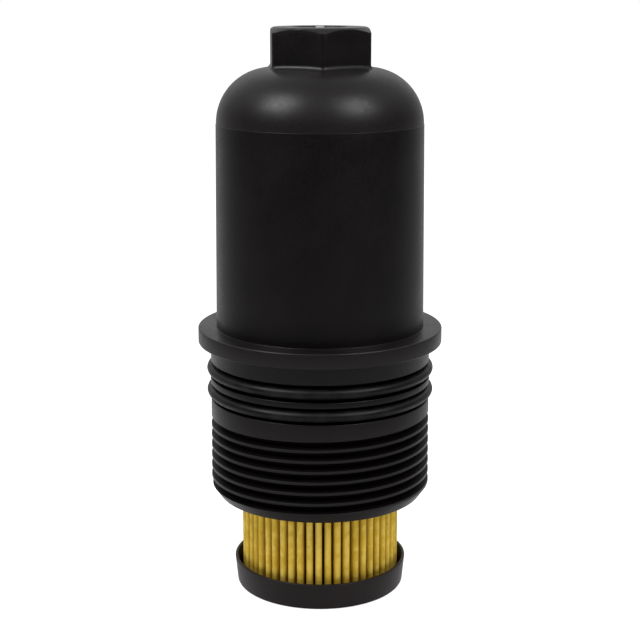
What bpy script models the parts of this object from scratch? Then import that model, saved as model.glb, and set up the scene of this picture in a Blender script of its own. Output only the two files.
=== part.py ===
"""An automotive oil filter: a moulded screw-on cap that carries a bypass valve and a cartridge element.

Metres, +Z up along the filter's axis. The origin is at the centre of the lower end cap's base, the
face that the assembly stands on. Every turned piece is described by its (radius, height) outline.
"""

import math

import bmesh
import bpy
from mathutils import Matrix

COLLECTION = "oil_filter"
SEGMENTS = 36  # sides of a turned piece: a multiple of 12, so corners fall on the X and Y axes
SMALL_SEGMENTS = 24  # the same for the small pieces of the valve and its carrier
GAP = 0.0003  # clearance between pieces that touch
MERGE = 0.00001  # points closer than this are one
SAME_POINT = 0.000001
SHARP_ANGLE = math.radians(35)
OVERSHOOT = 0.0010  # how far a cutter reaches past the surface that it opens

# Driving dimensions of the cap
HEX_ACROSS_FLATS = 0.0320
HEX_TOP_Z = 0.1905
HEX_CORNER_ROUNDING = 0.0012
HEX_CHAMFER_RADIUS = 0.0152  # where the turned chamfer meets the top face
HEX_CHAMFER_SLOPE = 0.60  # drop of the chamfer for its reach outwards
HEX_CHAMFER_REACH = 0.0060
HEX_FLARE_REACH = 0.0018  # of the small slope at the hexagon's foot
HEX_FLARE_HEIGHT = 0.0022
HEX_FLARE_SINK = 0.0007  # how far the slope's body goes below the crown
HEX_SINK = 0.0020  # the same for the hexagon's body
DISH_RADIUS = 0.0092
DISH_DEPTH = 0.0012
DISH_SLOPE = 0.0008
GATE_RADIUS = 0.0016
GATE_RISE = 0.0002  # of the gate's stub above the top face
GATE_SLOPE = 0.0002
CROWN_Z = 0.1775
DOME_ARC = 0.0180
BODY_TOP_RADIUS = 0.0343
BODY_FOOT_RADIUS = 0.0350
BODY_TOP_Z = 0.1592
MOULD_STEP = 0.0002
DOME_CENTRE = (BODY_TOP_RADIUS - MOULD_STEP - DOME_ARC, CROWN_Z - DOME_ARC)
DOME_STEPS = 9
INNER_DOME_STEPS = 6
CAP_WALL = 0.0032
FLANGE_RADIUS = 0.0412
FLANGE_TOP_Z = 0.0915
FLANGE_BOTTOM_Z = 0.0862
FLANGE_EDGE = 0.0004
FLANGE_FOOT = 0.0004  # slope where the body meets the flange
NECK_RADIUS = 0.0371
GROOVE_TOPS = (0.0800, 0.0724)
GROOVE_BOTTOMS = (0.0744, 0.0670)
GROOVE_FLOOR_RADIUS = 0.03465
O_RING_SECTION = 0.0035
LAND_RADIUS = 0.0373
THREAD_PITCH = 0.0036
THREAD_TOP_RADIUS = 0.03715
THREAD_BOTTOM_RADIUS = 0.03745
THREAD_ROOT_RADIUS = 0.0350
THREAD_GROOVE_WIDTH = 0.0026
THREAD_FLANK_SLOPE = 0.43
THREAD_FIRST_Z = 0.0366  # middle of the groove where it starts, at the back
THREAD_STEPS = 253  # steps of a full turn divided by SEGMENTS, just over seven turns
SKIRT_CHAMFER_Z = 0.0368
SKIRT_BOTTOM_Z = 0.0332
SKIRT_BOTTOM_RADIUS = 0.0349
SKIRT_BORE_RADIUS = 0.0324
SKIRT_MOUTH = 0.0012  # lead-in chamfer of the skirt's bore
HEX_POCKET_RADIUS = 0.0118
HEX_POCKET_Z = 0.1855
SOCKET_LIP_RADIUS = 0.0122
SOCKET_BORE_RADIUS = 0.0132
SOCKET_OUTER_RADIUS = 0.0158
SOCKET_BOTTOM_Z = 0.1640
SOCKET_LIP_HEIGHT = 0.0020
RIB_COUNT = 8
RIB_WIDTH = 0.0016
RIB_REACH_RADIUS = 0.0302
RIB_BOTTOM_Z = 0.0960
RIB_TOP_Z = 0.1652
RIB_DEPTH = 0.0050

# The valve carrier, snapped into the crown's socket
CARRIER_TOP_Z = 0.1690
CARRIER_HOOK_RADIUS = 0.0129
CARRIER_SHOULDER_RADIUS = 0.0150
CARRIER_SHOULDER = 0.0020
CARRIER_STOP_Z = 0.1526
CARRIER_BOTTOM_Z = 0.1399
CARRIER_TUBE_RADIUS = 0.0118
SPIGOT_RADIUS = 0.0116
SPIGOT_BORE_RADIUS = 0.0092
SPIGOT_GROOVE_RADIUS = 0.0104
SPIGOT_RING_Z = 0.1461
SPIGOT_RING_SECTION = 0.0018
SPIGOT_GROOVE_WIDTH = 0.0026
SPIGOT_LEAD = (0.0007, 0.0010)  # chamfer at the spigot's lower end
HOOK_LEAD = (0.0012, 0.0008)  # the same at the hooks' upper ends
SEAT_LEDGE = 0.0014
SEAT_LEDGE_TOP = 0.0018
CARRIER_WALL = 0.0018
FINGER_COUNT = 6
FINGER_SLOT_WIDTH = 0.0022
FINGER_SLOT_SINK = 0.0006  # how far the slots go below the shoulder's top
INLET_COUNT = 6
INLET_WIDTH = 0.0070
INLET_MARGIN = 0.0008
CARRIER_CUT_RADIUS = 0.0115
CARRIER_CUT_DEPTH = 0.0060

# The bypass valve inside the carrier
SEAT_BOTTOM_Z = 0.1510
SEAT_TOP_Z = 0.1520
SEAT_HOLE_RADIUS = 0.0056
SEAT_HOLE_EDGE = 0.0003
SEAT_LIP = (0.0014, 0.0004)  # width and height of the raised lip that the valve closes on
VALVE_OVERLAP = 0.0012
VALVE_EDGE = 0.0002
VALVE_RADIUS = 0.0079
VALVE_NOSE = ((0.0, 0.0012), (0.0030, 0.0010), (0.0038, 0.0))  # radius, height above the plate
VALVE_BOSS_HEIGHT = 0.0010
VALVE_BOSS_SLOPE = 0.0004
VALVE_STEM_POINT = 0.0005
SPRING_CLEARANCE = 0.0006
VALVE_SEAL_THICKNESS = 0.0008
VALVE_PLATE_THICKNESS = 0.0012
VALVE_STEM_RADIUS = 0.0015
VALVE_STEM_BOTTOM_Z = 0.1397
SPRING_MEAN_RADIUS = 0.0056
SPRING_WIRE = 0.0009
SPRING_TURNS = 3
SPRING_POINTS = 16  # points of the wire's path in a turn
RETAINER_BOTTOM_Z = 0.1403
RETAINER_THICKNESS = 0.0018
RETAINER_BORE_RADIUS = 0.0019
RETAINER_EDGES = (0.0002, 0.0003)
RETAINER_PORTS = 6
RETAINER_PORT_RADIUS = 0.0050
RETAINER_PORT_SIZE = (0.0020, 0.0030)

# The cartridge element
ELEMENT_TOP_Z = 0.1523
END_CAP_FLOOR = 0.0022
COLLAR_EDGE = 0.0005
COLLAR_FOOT = 0.0009  # of the upper collar above its cap's rim
COLLAR_LEAD = 0.0006
UPPER_CAP_EDGE = 0.0008
UPPER_DISC_Z = 0.1485
UPPER_RIM_Z = 0.1410
UPPER_CAP_RADIUS = 0.0284
COLLAR_BORE_RADIUS = 0.0127
COLLAR_RADIUS = 0.0150
LOWER_BASE_RADIUS = 0.0288
LOWER_RIM_RADIUS = 0.0297
LOWER_RIM_Z = 0.0092
END_CAP_WALL = 0.0010
LOWER_RIM_EDGE = (0.0003, 0.0002)
LOWER_BASE_EDGE = 0.0010
LOWER_BASE_SOFTENING = 0.0003
LOWER_COLLAR_Z = 0.0090
OUTLET_RADIUS = 0.0112
OUTLET_LIP = 0.0015
SEAL_SEAT_RADIUS = 0.0133
SEAL_BORE_RADIUS = 0.0096
SEAL_TOP_Z = 0.0072
SEAL_LEADS = (0.0012, 0.0008)  # at the lower and the upper end of its bore
CENTRE_TUBE_BORE = 0.0132
ADHESIVE_DEPTH = 0.0025
MEDIA_OUTER_RADIUS = 0.0271
MEDIA_INNER_RADIUS = 0.0156
PLEAT_COUNT = 52
PLEAT_PHASE = 0.35  # of a pitch, from the X axis to the first outer fold
PLEAT_TIP_WIDTH = 0.0023
PLEAT_VALLEY_WIDTH = 0.00025
PAPER_THICKNESS = 0.0006
SEAM_PLEAT = 12  # the pleat before the seam, which lies at the back
SEAM_THICKNESS = 0.0006
SEAM_FLOOR_RADIUS = 0.0198
SEAM_DEPTH = 0.0055
SEAM_INSET = 0.0003
SEAM_ROUNDING = 0.0002
TUBE_TOP_GAP = 0.0006
WINDOW_COLUMNS = 6
WINDOW_ROWS = 6
WINDOW_DEPTH = 0.0060
WINDOW_WIDTH = 0.0090
WINDOW_SPACING = 0.0040
WINDOW_MARGIN = 0.0030


def clear_scene():
    for obj in list(bpy.data.objects):
        bpy.data.objects.remove(obj, do_unlink=True)


def new_collection(name, hidden):
    collection = bpy.data.collections.new(name)
    collection.hide_render = hidden
    bpy.context.scene.collection.children.link(collection)
    return collection


def make_material(name, colour, roughness, metallic=0.0):
    material = bpy.data.materials.new(name)
    material.use_nodes = True
    shader = material.node_tree.nodes["Principled BSDF"]
    shader.inputs["Base Color"].default_value = (*colour, 1.0)
    shader.inputs["Roughness"].default_value = roughness
    shader.inputs["Metallic"].default_value = metallic
    material.diffuse_color = (*colour, 1.0)
    return material


def add_part(name, mesh, material):
    obj = bpy.data.objects.new(name, mesh)
    parts.objects.link(obj)
    if material:
        mesh.materials.append(material)
    return obj


def make_cutter(obj):
    """Moves a helper shape into the cutters' collection, which isn't rendered."""
    parts.objects.unlink(obj)
    cutters.objects.link(obj)
    obj.hide_render = True
    obj.display_type = "WIRE"
    return obj


def applied(obj):
    """Replaces an object's mesh by the one that its modifiers make."""
    bpy.context.view_layer.update()
    graph = bpy.context.evaluated_depsgraph_get()
    mesh = bpy.data.meshes.new_from_object(obj.evaluated_get(graph))
    built = bmesh.new()
    built.from_mesh(mesh)
    bmesh.ops.remove_doubles(built, verts=built.verts, dist=SAME_POINT)
    built.to_mesh(mesh)
    built.free()
    mesh.shade_smooth()
    mesh.set_sharp_from_angle(angle=SHARP_ANGLE)
    obj.modifiers.clear()
    obj.data = mesh
    return obj


def turned(name, outline, material=None, segments=SEGMENTS):
    """Turns an outline round the Z axis. It runs down the outer side; off the axis, it is a closed loop."""
    mesh = bpy.data.meshes.new(name)
    count = len(outline)
    edges = [(i, i + 1) for i in range(count - 1)]
    if outline[0][0] > 0:
        edges.append((count - 1, 0))
    mesh.from_pydata([(radius, 0.0, height) for radius, height in outline], edges, [])
    obj = add_part(name, mesh, material)
    screw = obj.modifiers.new("Turn", "SCREW")
    screw.steps = segments
    screw.render_steps = segments
    screw.use_merge_vertices = True
    screw.merge_threshold = MERGE
    return applied(obj)


def arc(centre, radius, start, end, steps):
    """Points on an arc in the outline's plane, with its angles in degrees from the radial direction."""
    angles = [math.radians(start + (end - start) * i / steps) for i in range(steps + 1)]
    return [(centre[0] + radius * math.cos(a), centre[1] + radius * math.sin(a)) for a in angles]


def boxes(name, placements):
    """One helper mesh of separate boxes, each given as a size and a matrix."""
    built = bmesh.new()
    for size, place in placements:
        bmesh.ops.create_cube(built, size=1.0, matrix=place @ Matrix.Diagonal((*size, 1.0)))
    mesh = bpy.data.meshes.new(name)
    built.to_mesh(mesh)
    built.free()
    return make_cutter(add_part(name, mesh, None))


def round_axis(angle, radius, height):
    """A place at a radius and height, turned by an angle in degrees about the Z axis."""
    return Matrix.Rotation(math.radians(angle), 4, "Z") @ Matrix.Translation((radius, 0.0, height))


def boolean(obj, other, operation):
    modifier = obj.modifiers.new(other.name, "BOOLEAN")
    modifier.operation = operation
    modifier.solver = "EXACT"
    modifier.object = other


def torus(name, mean_radius, section, height, material, segments=SEGMENTS, sides=8):
    bpy.ops.mesh.primitive_torus_add(
        major_radius=mean_radius,
        minor_radius=section / 2,
        major_segments=segments,
        minor_segments=sides,
        location=(0.0, 0.0, height),
    )
    obj = bpy.context.object
    obj.name = name
    for home in list(obj.users_collection):
        home.objects.unlink(obj)
    parts.objects.link(obj)
    obj.data.shade_smooth()
    obj.data.materials.append(material)
    return obj


def hex_solid(name, bottom, top, lower_radius, upper_radius):
    """A six-sided block with rounded upright edges."""
    built = bmesh.new()
    bmesh.ops.create_cone(
        built,
        cap_ends=True,
        segments=6,
        radius1=lower_radius,
        radius2=upper_radius,
        depth=top - bottom,
        matrix=Matrix.Translation((0.0, 0.0, (bottom + top) / 2)),
    )
    upright = [e for e in built.edges if abs(e.verts[0].co.z - e.verts[1].co.z) > (top - bottom) / 2]
    bmesh.ops.bevel(
        built, geom=upright, offset=HEX_CORNER_ROUNDING, segments=3, profile=0.5, affect="EDGES"
    )
    mesh = bpy.data.meshes.new(name)
    built.to_mesh(mesh)
    built.free()
    return add_part(name, mesh, None)


def hex_head():
    """The wrench hexagon: rounded corners, a turned chamfer and a shallow dish with the gate's stub."""
    corner_radius = HEX_ACROSS_FLATS / math.sqrt(3)
    root_z = CROWN_Z - HEX_SINK
    floor_z = HEX_TOP_Z - DISH_DEPTH
    chamfer_foot = (HEX_CHAMFER_RADIUS + HEX_CHAMFER_REACH, HEX_TOP_Z - HEX_CHAMFER_SLOPE * HEX_CHAMFER_REACH)
    prism = hex_solid("hex_prism", root_z, HEX_TOP_Z + OVERSHOOT, corner_radius, corner_radius)
    top = turned(
        "hex_chamfer",
        [
            (0.0, HEX_TOP_Z + GATE_RISE),
            (GATE_RADIUS, HEX_TOP_Z + GATE_RISE),
            (GATE_RADIUS + GATE_SLOPE, floor_z),
            (DISH_RADIUS - DISH_SLOPE, floor_z),
            (DISH_RADIUS, HEX_TOP_Z),
            (HEX_CHAMFER_RADIUS, HEX_TOP_Z),
            chamfer_foot,
            (chamfer_foot[0], root_z + HEX_FLARE_SINK),
            (0.0, root_z + HEX_FLARE_SINK),
        ],
    )
    boolean(prism, make_cutter(top), "INTERSECT")
    return make_cutter(applied(prism))


def hex_flare():
    """The small slope that joins the hexagon to the crown."""
    corner_radius = HEX_ACROSS_FLATS / math.sqrt(3)
    bottom = CROWN_Z - HEX_FLARE_SINK
    reach = corner_radius + HEX_FLARE_REACH
    return make_cutter(
        hex_solid("hex_flare", bottom, bottom + HEX_FLARE_HEIGHT, reach, reach - HEX_FLARE_HEIGHT)
    )


def cap_outline():
    """The cap's outside, from the crown's middle down to the skirt's lower edge."""
    outline = [(0.0, CROWN_Z)]
    outline += arc(DOME_CENTRE, DOME_ARC, 90, 0, DOME_STEPS)
    outline += [
        (BODY_TOP_RADIUS, BODY_TOP_Z),
        (BODY_FOOT_RADIUS, FLANGE_TOP_Z + FLANGE_FOOT),
        (BODY_FOOT_RADIUS + FLANGE_FOOT, FLANGE_TOP_Z),
        (FLANGE_RADIUS - FLANGE_EDGE, FLANGE_TOP_Z),
        (FLANGE_RADIUS, FLANGE_TOP_Z - FLANGE_EDGE),
        (FLANGE_RADIUS, FLANGE_BOTTOM_Z + FLANGE_EDGE),
        (FLANGE_RADIUS - FLANGE_EDGE, FLANGE_BOTTOM_Z),
        (NECK_RADIUS, FLANGE_BOTTOM_Z),
    ]
    lands = (NECK_RADIUS, LAND_RADIUS, THREAD_TOP_RADIUS)
    for i, (top, bottom) in enumerate(zip(GROOVE_TOPS, GROOVE_BOTTOMS)):
        outline += [
            (lands[i], top),
            (GROOVE_FLOOR_RADIUS, top),
            (GROOVE_FLOOR_RADIUS, bottom),
            (lands[i + 1], bottom),
        ]
    outline += [
        (THREAD_BOTTOM_RADIUS, SKIRT_CHAMFER_Z),
        (SKIRT_BOTTOM_RADIUS, SKIRT_BOTTOM_Z),
        (0.0, SKIRT_BOTTOM_Z),
    ]
    return outline


def cap_cavity():
    """The hollow inside the cap, with the crown's socket ring and the centring ribs left standing in it."""
    inner_arc = DOME_ARC - CAP_WALL
    under_crown = DOME_CENTRE[1] + inner_arc
    lip_top = SOCKET_BOTTOM_Z + SOCKET_LIP_HEIGHT
    outline = [
        (0.0, HEX_POCKET_Z),
        (HEX_POCKET_RADIUS, HEX_POCKET_Z),
        (HEX_POCKET_RADIUS, under_crown),
        (SOCKET_BORE_RADIUS, under_crown),
        (SOCKET_BORE_RADIUS, lip_top),
        (SOCKET_LIP_RADIUS, lip_top),
        (SOCKET_LIP_RADIUS, SOCKET_BOTTOM_Z),
        (SOCKET_OUTER_RADIUS, SOCKET_BOTTOM_Z),
        (SOCKET_OUTER_RADIUS, under_crown),
    ]
    mouth_radius = SKIRT_BORE_RADIUS + SKIRT_MOUTH
    outline += arc(DOME_CENTRE, inner_arc, 90, 0, INNER_DOME_STEPS)
    outline += [
        (SKIRT_BORE_RADIUS, SKIRT_BOTTOM_Z + SKIRT_MOUTH - GAP),
        (mouth_radius, SKIRT_BOTTOM_Z - GAP),
        (mouth_radius, SKIRT_BOTTOM_Z - GAP - OVERSHOOT),
        (0.0, SKIRT_BOTTOM_Z - GAP - OVERSHOOT),
    ]
    hollow = turned("cap_cavity", outline)
    ribs = boxes(
        "rib_shapes",
        [
            (
                (RIB_DEPTH, RIB_WIDTH, RIB_TOP_Z - RIB_BOTTOM_Z),
                round_axis(
                    (i + 0.5) * 360 / RIB_COUNT,
                    RIB_REACH_RADIUS + RIB_DEPTH / 2,
                    (RIB_TOP_Z + RIB_BOTTOM_Z) / 2,
                ),
            )
            for i in range(RIB_COUNT)
        ],
    )
    boolean(hollow, ribs, "DIFFERENCE")
    return make_cutter(applied(hollow))


def thread_groove():
    """The helical groove between the crests of the right-handed thread, with both of its ends closed."""
    outer = THREAD_BOTTOM_RADIUS + OVERSHOOT
    half = THREAD_GROOVE_WIDTH / 2
    mesh = bpy.data.meshes.new("thread_groove")

    def at(radius, side):
        widen = (radius - THREAD_BOTTOM_RADIUS) * THREAD_FLANK_SLOPE
        return (radius, 0.0, THREAD_FIRST_Z + side * (half + widen))

    section = [at(outer, 1), at(outer, -1), at(THREAD_ROOT_RADIUS, -1), at(THREAD_ROOT_RADIUS, 1)]
    mesh.from_pydata(section, [(0, 1), (1, 2), (2, 3), (3, 0)], [])
    obj = add_part("thread_groove", mesh, None)
    turns = THREAD_STEPS / SEGMENTS
    screw = obj.modifiers.new("Sweep", "SCREW")
    screw.angle = 2 * math.pi * turns
    screw.screw_offset = THREAD_PITCH * turns
    screw.steps = THREAD_STEPS
    screw.render_steps = THREAD_STEPS
    obj = applied(obj)
    built = bmesh.new()
    built.from_mesh(obj.data)
    bmesh.ops.holes_fill(built, edges=[e for e in built.edges if e.is_boundary])
    bmesh.ops.recalc_face_normals(built, faces=built.faces)
    built.to_mesh(obj.data)
    built.free()
    obj.rotation_euler.z = math.radians(90)
    return make_cutter(obj)


def cap_housing():
    housing = turned("cap_housing", cap_outline(), black_nylon)
    boolean(housing, hex_flare(), "UNION")
    boolean(housing, hex_head(), "UNION")
    boolean(housing, cap_cavity(), "DIFFERENCE")
    boolean(housing, thread_groove(), "DIFFERENCE")
    return housing


def cap_o_rings():
    radius = GROOVE_FLOOR_RADIUS + GAP + O_RING_SECTION / 2
    for name, top, bottom in zip(("upper_o_ring", "lower_o_ring"), GROOVE_TOPS, GROOVE_BOTTOMS):
        torus(name, radius, O_RING_SECTION, (top + bottom) / 2, black_rubber)


def valve_carrier():
    """The moulded tube that snaps into the crown, houses the bypass valve and holds the element."""
    hook_z = SOCKET_BOTTOM_Z + SOCKET_LIP_HEIGHT + GAP
    shoulder_z = SOCKET_BOTTOM_Z - GAP
    groove_half = SPIGOT_GROOVE_WIDTH / 2
    outline = [
        (CARRIER_HOOK_RADIUS - HOOK_LEAD[0] - GAP, CARRIER_TOP_Z),
        (CARRIER_HOOK_RADIUS, hook_z + HOOK_LEAD[1]),
        (CARRIER_HOOK_RADIUS, hook_z),
        (CARRIER_TUBE_RADIUS, hook_z),
        (CARRIER_TUBE_RADIUS, shoulder_z),
        (CARRIER_SHOULDER_RADIUS, shoulder_z),
        (CARRIER_SHOULDER_RADIUS, shoulder_z - CARRIER_SHOULDER),
        (CARRIER_TUBE_RADIUS, shoulder_z - CARRIER_SHOULDER),
        (CARRIER_TUBE_RADIUS, CARRIER_STOP_Z + CARRIER_SHOULDER),
        (CARRIER_SHOULDER_RADIUS, CARRIER_STOP_Z + CARRIER_SHOULDER),
        (CARRIER_SHOULDER_RADIUS, CARRIER_STOP_Z),
        (SPIGOT_RADIUS, CARRIER_STOP_Z),
        (SPIGOT_RADIUS, SPIGOT_RING_Z + groove_half),
        (SPIGOT_GROOVE_RADIUS, SPIGOT_RING_Z + groove_half),
        (SPIGOT_GROOVE_RADIUS, SPIGOT_RING_Z - groove_half),
        (SPIGOT_RADIUS, SPIGOT_RING_Z - groove_half),
        (SPIGOT_RADIUS, CARRIER_BOTTOM_Z + SPIGOT_LEAD[1]),
        (SPIGOT_RADIUS - SPIGOT_LEAD[0], CARRIER_BOTTOM_Z),
        (SPIGOT_BORE_RADIUS, CARRIER_BOTTOM_Z),
        (SPIGOT_BORE_RADIUS, SEAT_TOP_Z + GAP),
        (SPIGOT_BORE_RADIUS - SEAT_LEDGE, SEAT_TOP_Z + GAP),
        (SPIGOT_BORE_RADIUS - SEAT_LEDGE, SEAT_TOP_Z + SEAT_LEDGE_TOP),
        (CARRIER_TUBE_RADIUS - CARRIER_WALL, SEAT_TOP_Z + SEAT_LEDGE_TOP + OVERSHOOT),
        (CARRIER_TUBE_RADIUS - CARRIER_WALL, CARRIER_TOP_Z),
    ]
    carrier = turned("valve_carrier", outline, natural_nylon, SMALL_SEGMENTS)
    slot_top, slot_bottom = CARRIER_TOP_Z + OVERSHOOT, shoulder_z - FINGER_SLOT_SINK
    slot_size = (CARRIER_CUT_DEPTH, FINGER_SLOT_WIDTH, slot_top - slot_bottom)
    slots = boxes(
        "finger_slots",
        [
            (
                slot_size,
                round_axis((i + 0.5) * 360 / FINGER_COUNT, CARRIER_CUT_RADIUS, (slot_top + slot_bottom) / 2),
            )
            for i in range(FINGER_COUNT)
        ],
    )
    inlet_top = shoulder_z - CARRIER_SHOULDER - INLET_MARGIN
    inlet_bottom = CARRIER_STOP_Z + CARRIER_SHOULDER + INLET_MARGIN
    inlet_size = (CARRIER_CUT_DEPTH, INLET_WIDTH, inlet_top - inlet_bottom)
    inlets = boxes(
        "inlet_windows",
        [
            (
                inlet_size,
                round_axis(i * 360 / INLET_COUNT, CARRIER_CUT_RADIUS, (inlet_top + inlet_bottom) / 2),
            )
            for i in range(INLET_COUNT)
        ],
    )
    boolean(carrier, slots, "DIFFERENCE")
    boolean(carrier, inlets, "DIFFERENCE")


def carrier_o_ring():
    radius = SPIGOT_GROOVE_RADIUS + GAP + SPIGOT_RING_SECTION / 2
    torus("carrier_o_ring", radius, SPIGOT_RING_SECTION, SPIGOT_RING_Z, black_rubber, SMALL_SEGMENTS, 6)


def valve_seat_ring():
    outer = SPIGOT_BORE_RADIUS - GAP
    turned(
        "valve_seat_ring",
        [
            (outer, SEAT_TOP_Z),
            (outer, SEAT_BOTTOM_Z + SEAT_LIP[1]),
            (SEAT_HOLE_RADIUS + SEAT_LIP[0], SEAT_BOTTOM_Z),
            (SEAT_HOLE_RADIUS, SEAT_BOTTOM_Z),
            (SEAT_HOLE_RADIUS, SEAT_TOP_Z - SEAT_HOLE_EDGE),
            (SEAT_HOLE_RADIUS + SEAT_HOLE_EDGE, SEAT_TOP_Z),
        ],
        plated_steel,
        SMALL_SEGMENTS,
    )


def bypass_valve():
    """The valve plate with its guide stem, and the rubber facing that closes on the seat."""
    seal_top = SEAT_BOTTOM_Z - GAP
    seal_bottom = seal_top - VALVE_SEAL_THICKNESS
    turned(
        "bypass_valve_seal",
        [
            (VALVE_RADIUS - VALVE_EDGE, seal_top),
            (VALVE_RADIUS, seal_top - VALVE_EDGE),
            (VALVE_RADIUS, seal_bottom),
            (SEAT_HOLE_RADIUS - VALVE_OVERLAP, seal_bottom),
            (SEAT_HOLE_RADIUS - VALVE_OVERLAP, seal_top),
        ],
        black_rubber,
        SMALL_SEGMENTS,
    )
    plate_top = seal_bottom - GAP
    plate_bottom = plate_top - VALVE_PLATE_THICKNESS
    boss_radius = SPRING_MEAN_RADIUS - SPRING_WIRE / 2 - SPRING_CLEARANCE
    boss_bottom = plate_bottom - VALVE_BOSS_HEIGHT
    turned(
        "bypass_valve_plate",
        [(radius, plate_top + height) for radius, height in VALVE_NOSE]
        + [
            (VALVE_RADIUS, plate_top),
            (VALVE_RADIUS, plate_bottom),
            (boss_radius, plate_bottom),
            (boss_radius, boss_bottom),
            (VALVE_STEM_RADIUS, boss_bottom - VALVE_BOSS_SLOPE),
            (VALVE_STEM_RADIUS, VALVE_STEM_BOTTOM_Z + VALVE_STEM_POINT),
            (VALVE_STEM_RADIUS - VALVE_STEM_POINT, VALVE_STEM_BOTTOM_Z),
            (0.0, VALVE_STEM_BOTTOM_Z),
        ],
        natural_nylon,
        SMALL_SEGMENTS,
    )
    return plate_bottom


def bypass_spring(top_z):
    """The coil between the spring retainer and the valve plate."""
    low = RETAINER_BOTTOM_Z + RETAINER_THICKNESS + GAP + SPRING_WIRE / 2
    high = top_z - GAP - SPRING_WIRE / 2
    curve = bpy.data.curves.new("bypass_spring", "CURVE")
    curve.dimensions = "3D"
    curve.bevel_depth = SPRING_WIRE / 2
    curve.bevel_resolution = 2
    curve.use_fill_caps = True
    count = SPRING_TURNS * SPRING_POINTS + 1
    spline = curve.splines.new("POLY")
    spline.points.add(count - 1)
    for i, point in enumerate(spline.points):
        share = i / (count - 1)
        angle = 2 * math.pi * SPRING_TURNS * share
        point.co = (
            SPRING_MEAN_RADIUS * math.cos(angle),
            SPRING_MEAN_RADIUS * math.sin(angle),
            low + (high - low) * share,
            1.0,
        )
    curve.materials.append(spring_steel)
    obj = bpy.data.objects.new("bypass_spring", curve)
    parts.objects.link(obj)


def spring_retainer():
    """The snap-in disc with six ports that holds the spring and guides the valve's stem."""
    top = RETAINER_BOTTOM_Z + RETAINER_THICKNESS
    outer = SPIGOT_BORE_RADIUS - GAP
    upper_edge, lower_edge = RETAINER_EDGES
    retainer = turned(
        "spring_retainer",
        [
            (outer - upper_edge, top),
            (outer, top - upper_edge),
            (outer, RETAINER_BOTTOM_Z + lower_edge),
            (outer - lower_edge, RETAINER_BOTTOM_Z),
            (RETAINER_BORE_RADIUS, RETAINER_BOTTOM_Z),
            (RETAINER_BORE_RADIUS, top),
        ],
        natural_nylon,
        SMALL_SEGMENTS,
    )
    port_size = (*RETAINER_PORT_SIZE, RETAINER_THICKNESS * 2)
    middle = top - RETAINER_THICKNESS / 2
    ports = boxes(
        "retainer_ports",
        [
            (port_size, round_axis(i * 360 / RETAINER_PORTS, RETAINER_PORT_RADIUS, middle))
            for i in range(RETAINER_PORTS)
        ],
    )
    boolean(retainer, ports, "DIFFERENCE")


def upper_end_cap():
    """The element's upper cap: a disc with a rim turned down and a collar that fits the carrier's spigot."""
    inner_rim = UPPER_CAP_RADIUS - END_CAP_WALL
    turned(
        "upper_end_cap",
        [
            (COLLAR_RADIUS - COLLAR_EDGE, ELEMENT_TOP_Z),
            (COLLAR_RADIUS, ELEMENT_TOP_Z - COLLAR_EDGE),
            (COLLAR_RADIUS, UPPER_DISC_Z),
            (UPPER_CAP_RADIUS - UPPER_CAP_EDGE, UPPER_DISC_Z),
            (UPPER_CAP_RADIUS, UPPER_DISC_Z - UPPER_CAP_EDGE),
            (UPPER_CAP_RADIUS, UPPER_RIM_Z),
            (inner_rim, UPPER_RIM_Z),
            (inner_rim, UPPER_DISC_Z - END_CAP_FLOOR),
            (COLLAR_RADIUS, UPPER_DISC_Z - END_CAP_FLOOR),
            (COLLAR_RADIUS, UPPER_RIM_Z + COLLAR_FOOT),
            (COLLAR_BORE_RADIUS, UPPER_RIM_Z + COLLAR_FOOT),
            (COLLAR_BORE_RADIUS, ELEMENT_TOP_Z - COLLAR_LEAD),
            (COLLAR_BORE_RADIUS + COLLAR_LEAD, ELEMENT_TOP_Z),
        ],
        black_nylon,
    )


def lower_end_cap():
    """The cup that closes the element's foot, with a thin rim that stands clear of the pleats."""
    outer_edge, inner_edge = LOWER_RIM_EDGE
    inner_rim = LOWER_RIM_RADIUS - END_CAP_WALL
    turned(
        "lower_end_cap",
        [
            (LOWER_RIM_RADIUS - outer_edge, LOWER_RIM_Z),
            (LOWER_RIM_RADIUS, LOWER_RIM_Z - outer_edge),
            (LOWER_BASE_RADIUS, LOWER_BASE_EDGE),
            (LOWER_BASE_RADIUS - LOWER_BASE_SOFTENING, LOWER_BASE_SOFTENING),
            (LOWER_BASE_RADIUS - LOWER_BASE_EDGE, 0.0),
            (OUTLET_RADIUS, 0.0),
            (OUTLET_RADIUS, OUTLET_LIP),
            (SEAL_SEAT_RADIUS, OUTLET_LIP),
            (SEAL_SEAT_RADIUS, LOWER_COLLAR_Z),
            (COLLAR_RADIUS, LOWER_COLLAR_Z),
            (COLLAR_RADIUS, END_CAP_FLOOR),
            (LOWER_BASE_RADIUS - END_CAP_WALL, END_CAP_FLOOR),
            (inner_rim, LOWER_RIM_Z - inner_edge),
            (inner_rim + inner_edge, LOWER_RIM_Z),
        ],
        black_nylon,
    )


def outlet_seal_ring():
    """The rubber ring in the lower cap that seals on the engine's outlet pipe, with a lip at its mouth."""
    outer = SEAL_SEAT_RADIUS - GAP
    bottom = OUTLET_LIP + GAP
    lower_lead, upper_lead = SEAL_LEADS
    turned(
        "outlet_seal_ring",
        [
            (outer, SEAL_TOP_Z),
            (outer, bottom),
            (SEAL_BORE_RADIUS + lower_lead, bottom),
            (SEAL_BORE_RADIUS, bottom + lower_lead),
            (SEAL_BORE_RADIUS, SEAL_TOP_Z - upper_lead),
            (SEAL_BORE_RADIUS + upper_lead, SEAL_TOP_Z),
        ],
        black_rubber,
        SMALL_SEGMENTS,
    )


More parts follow.
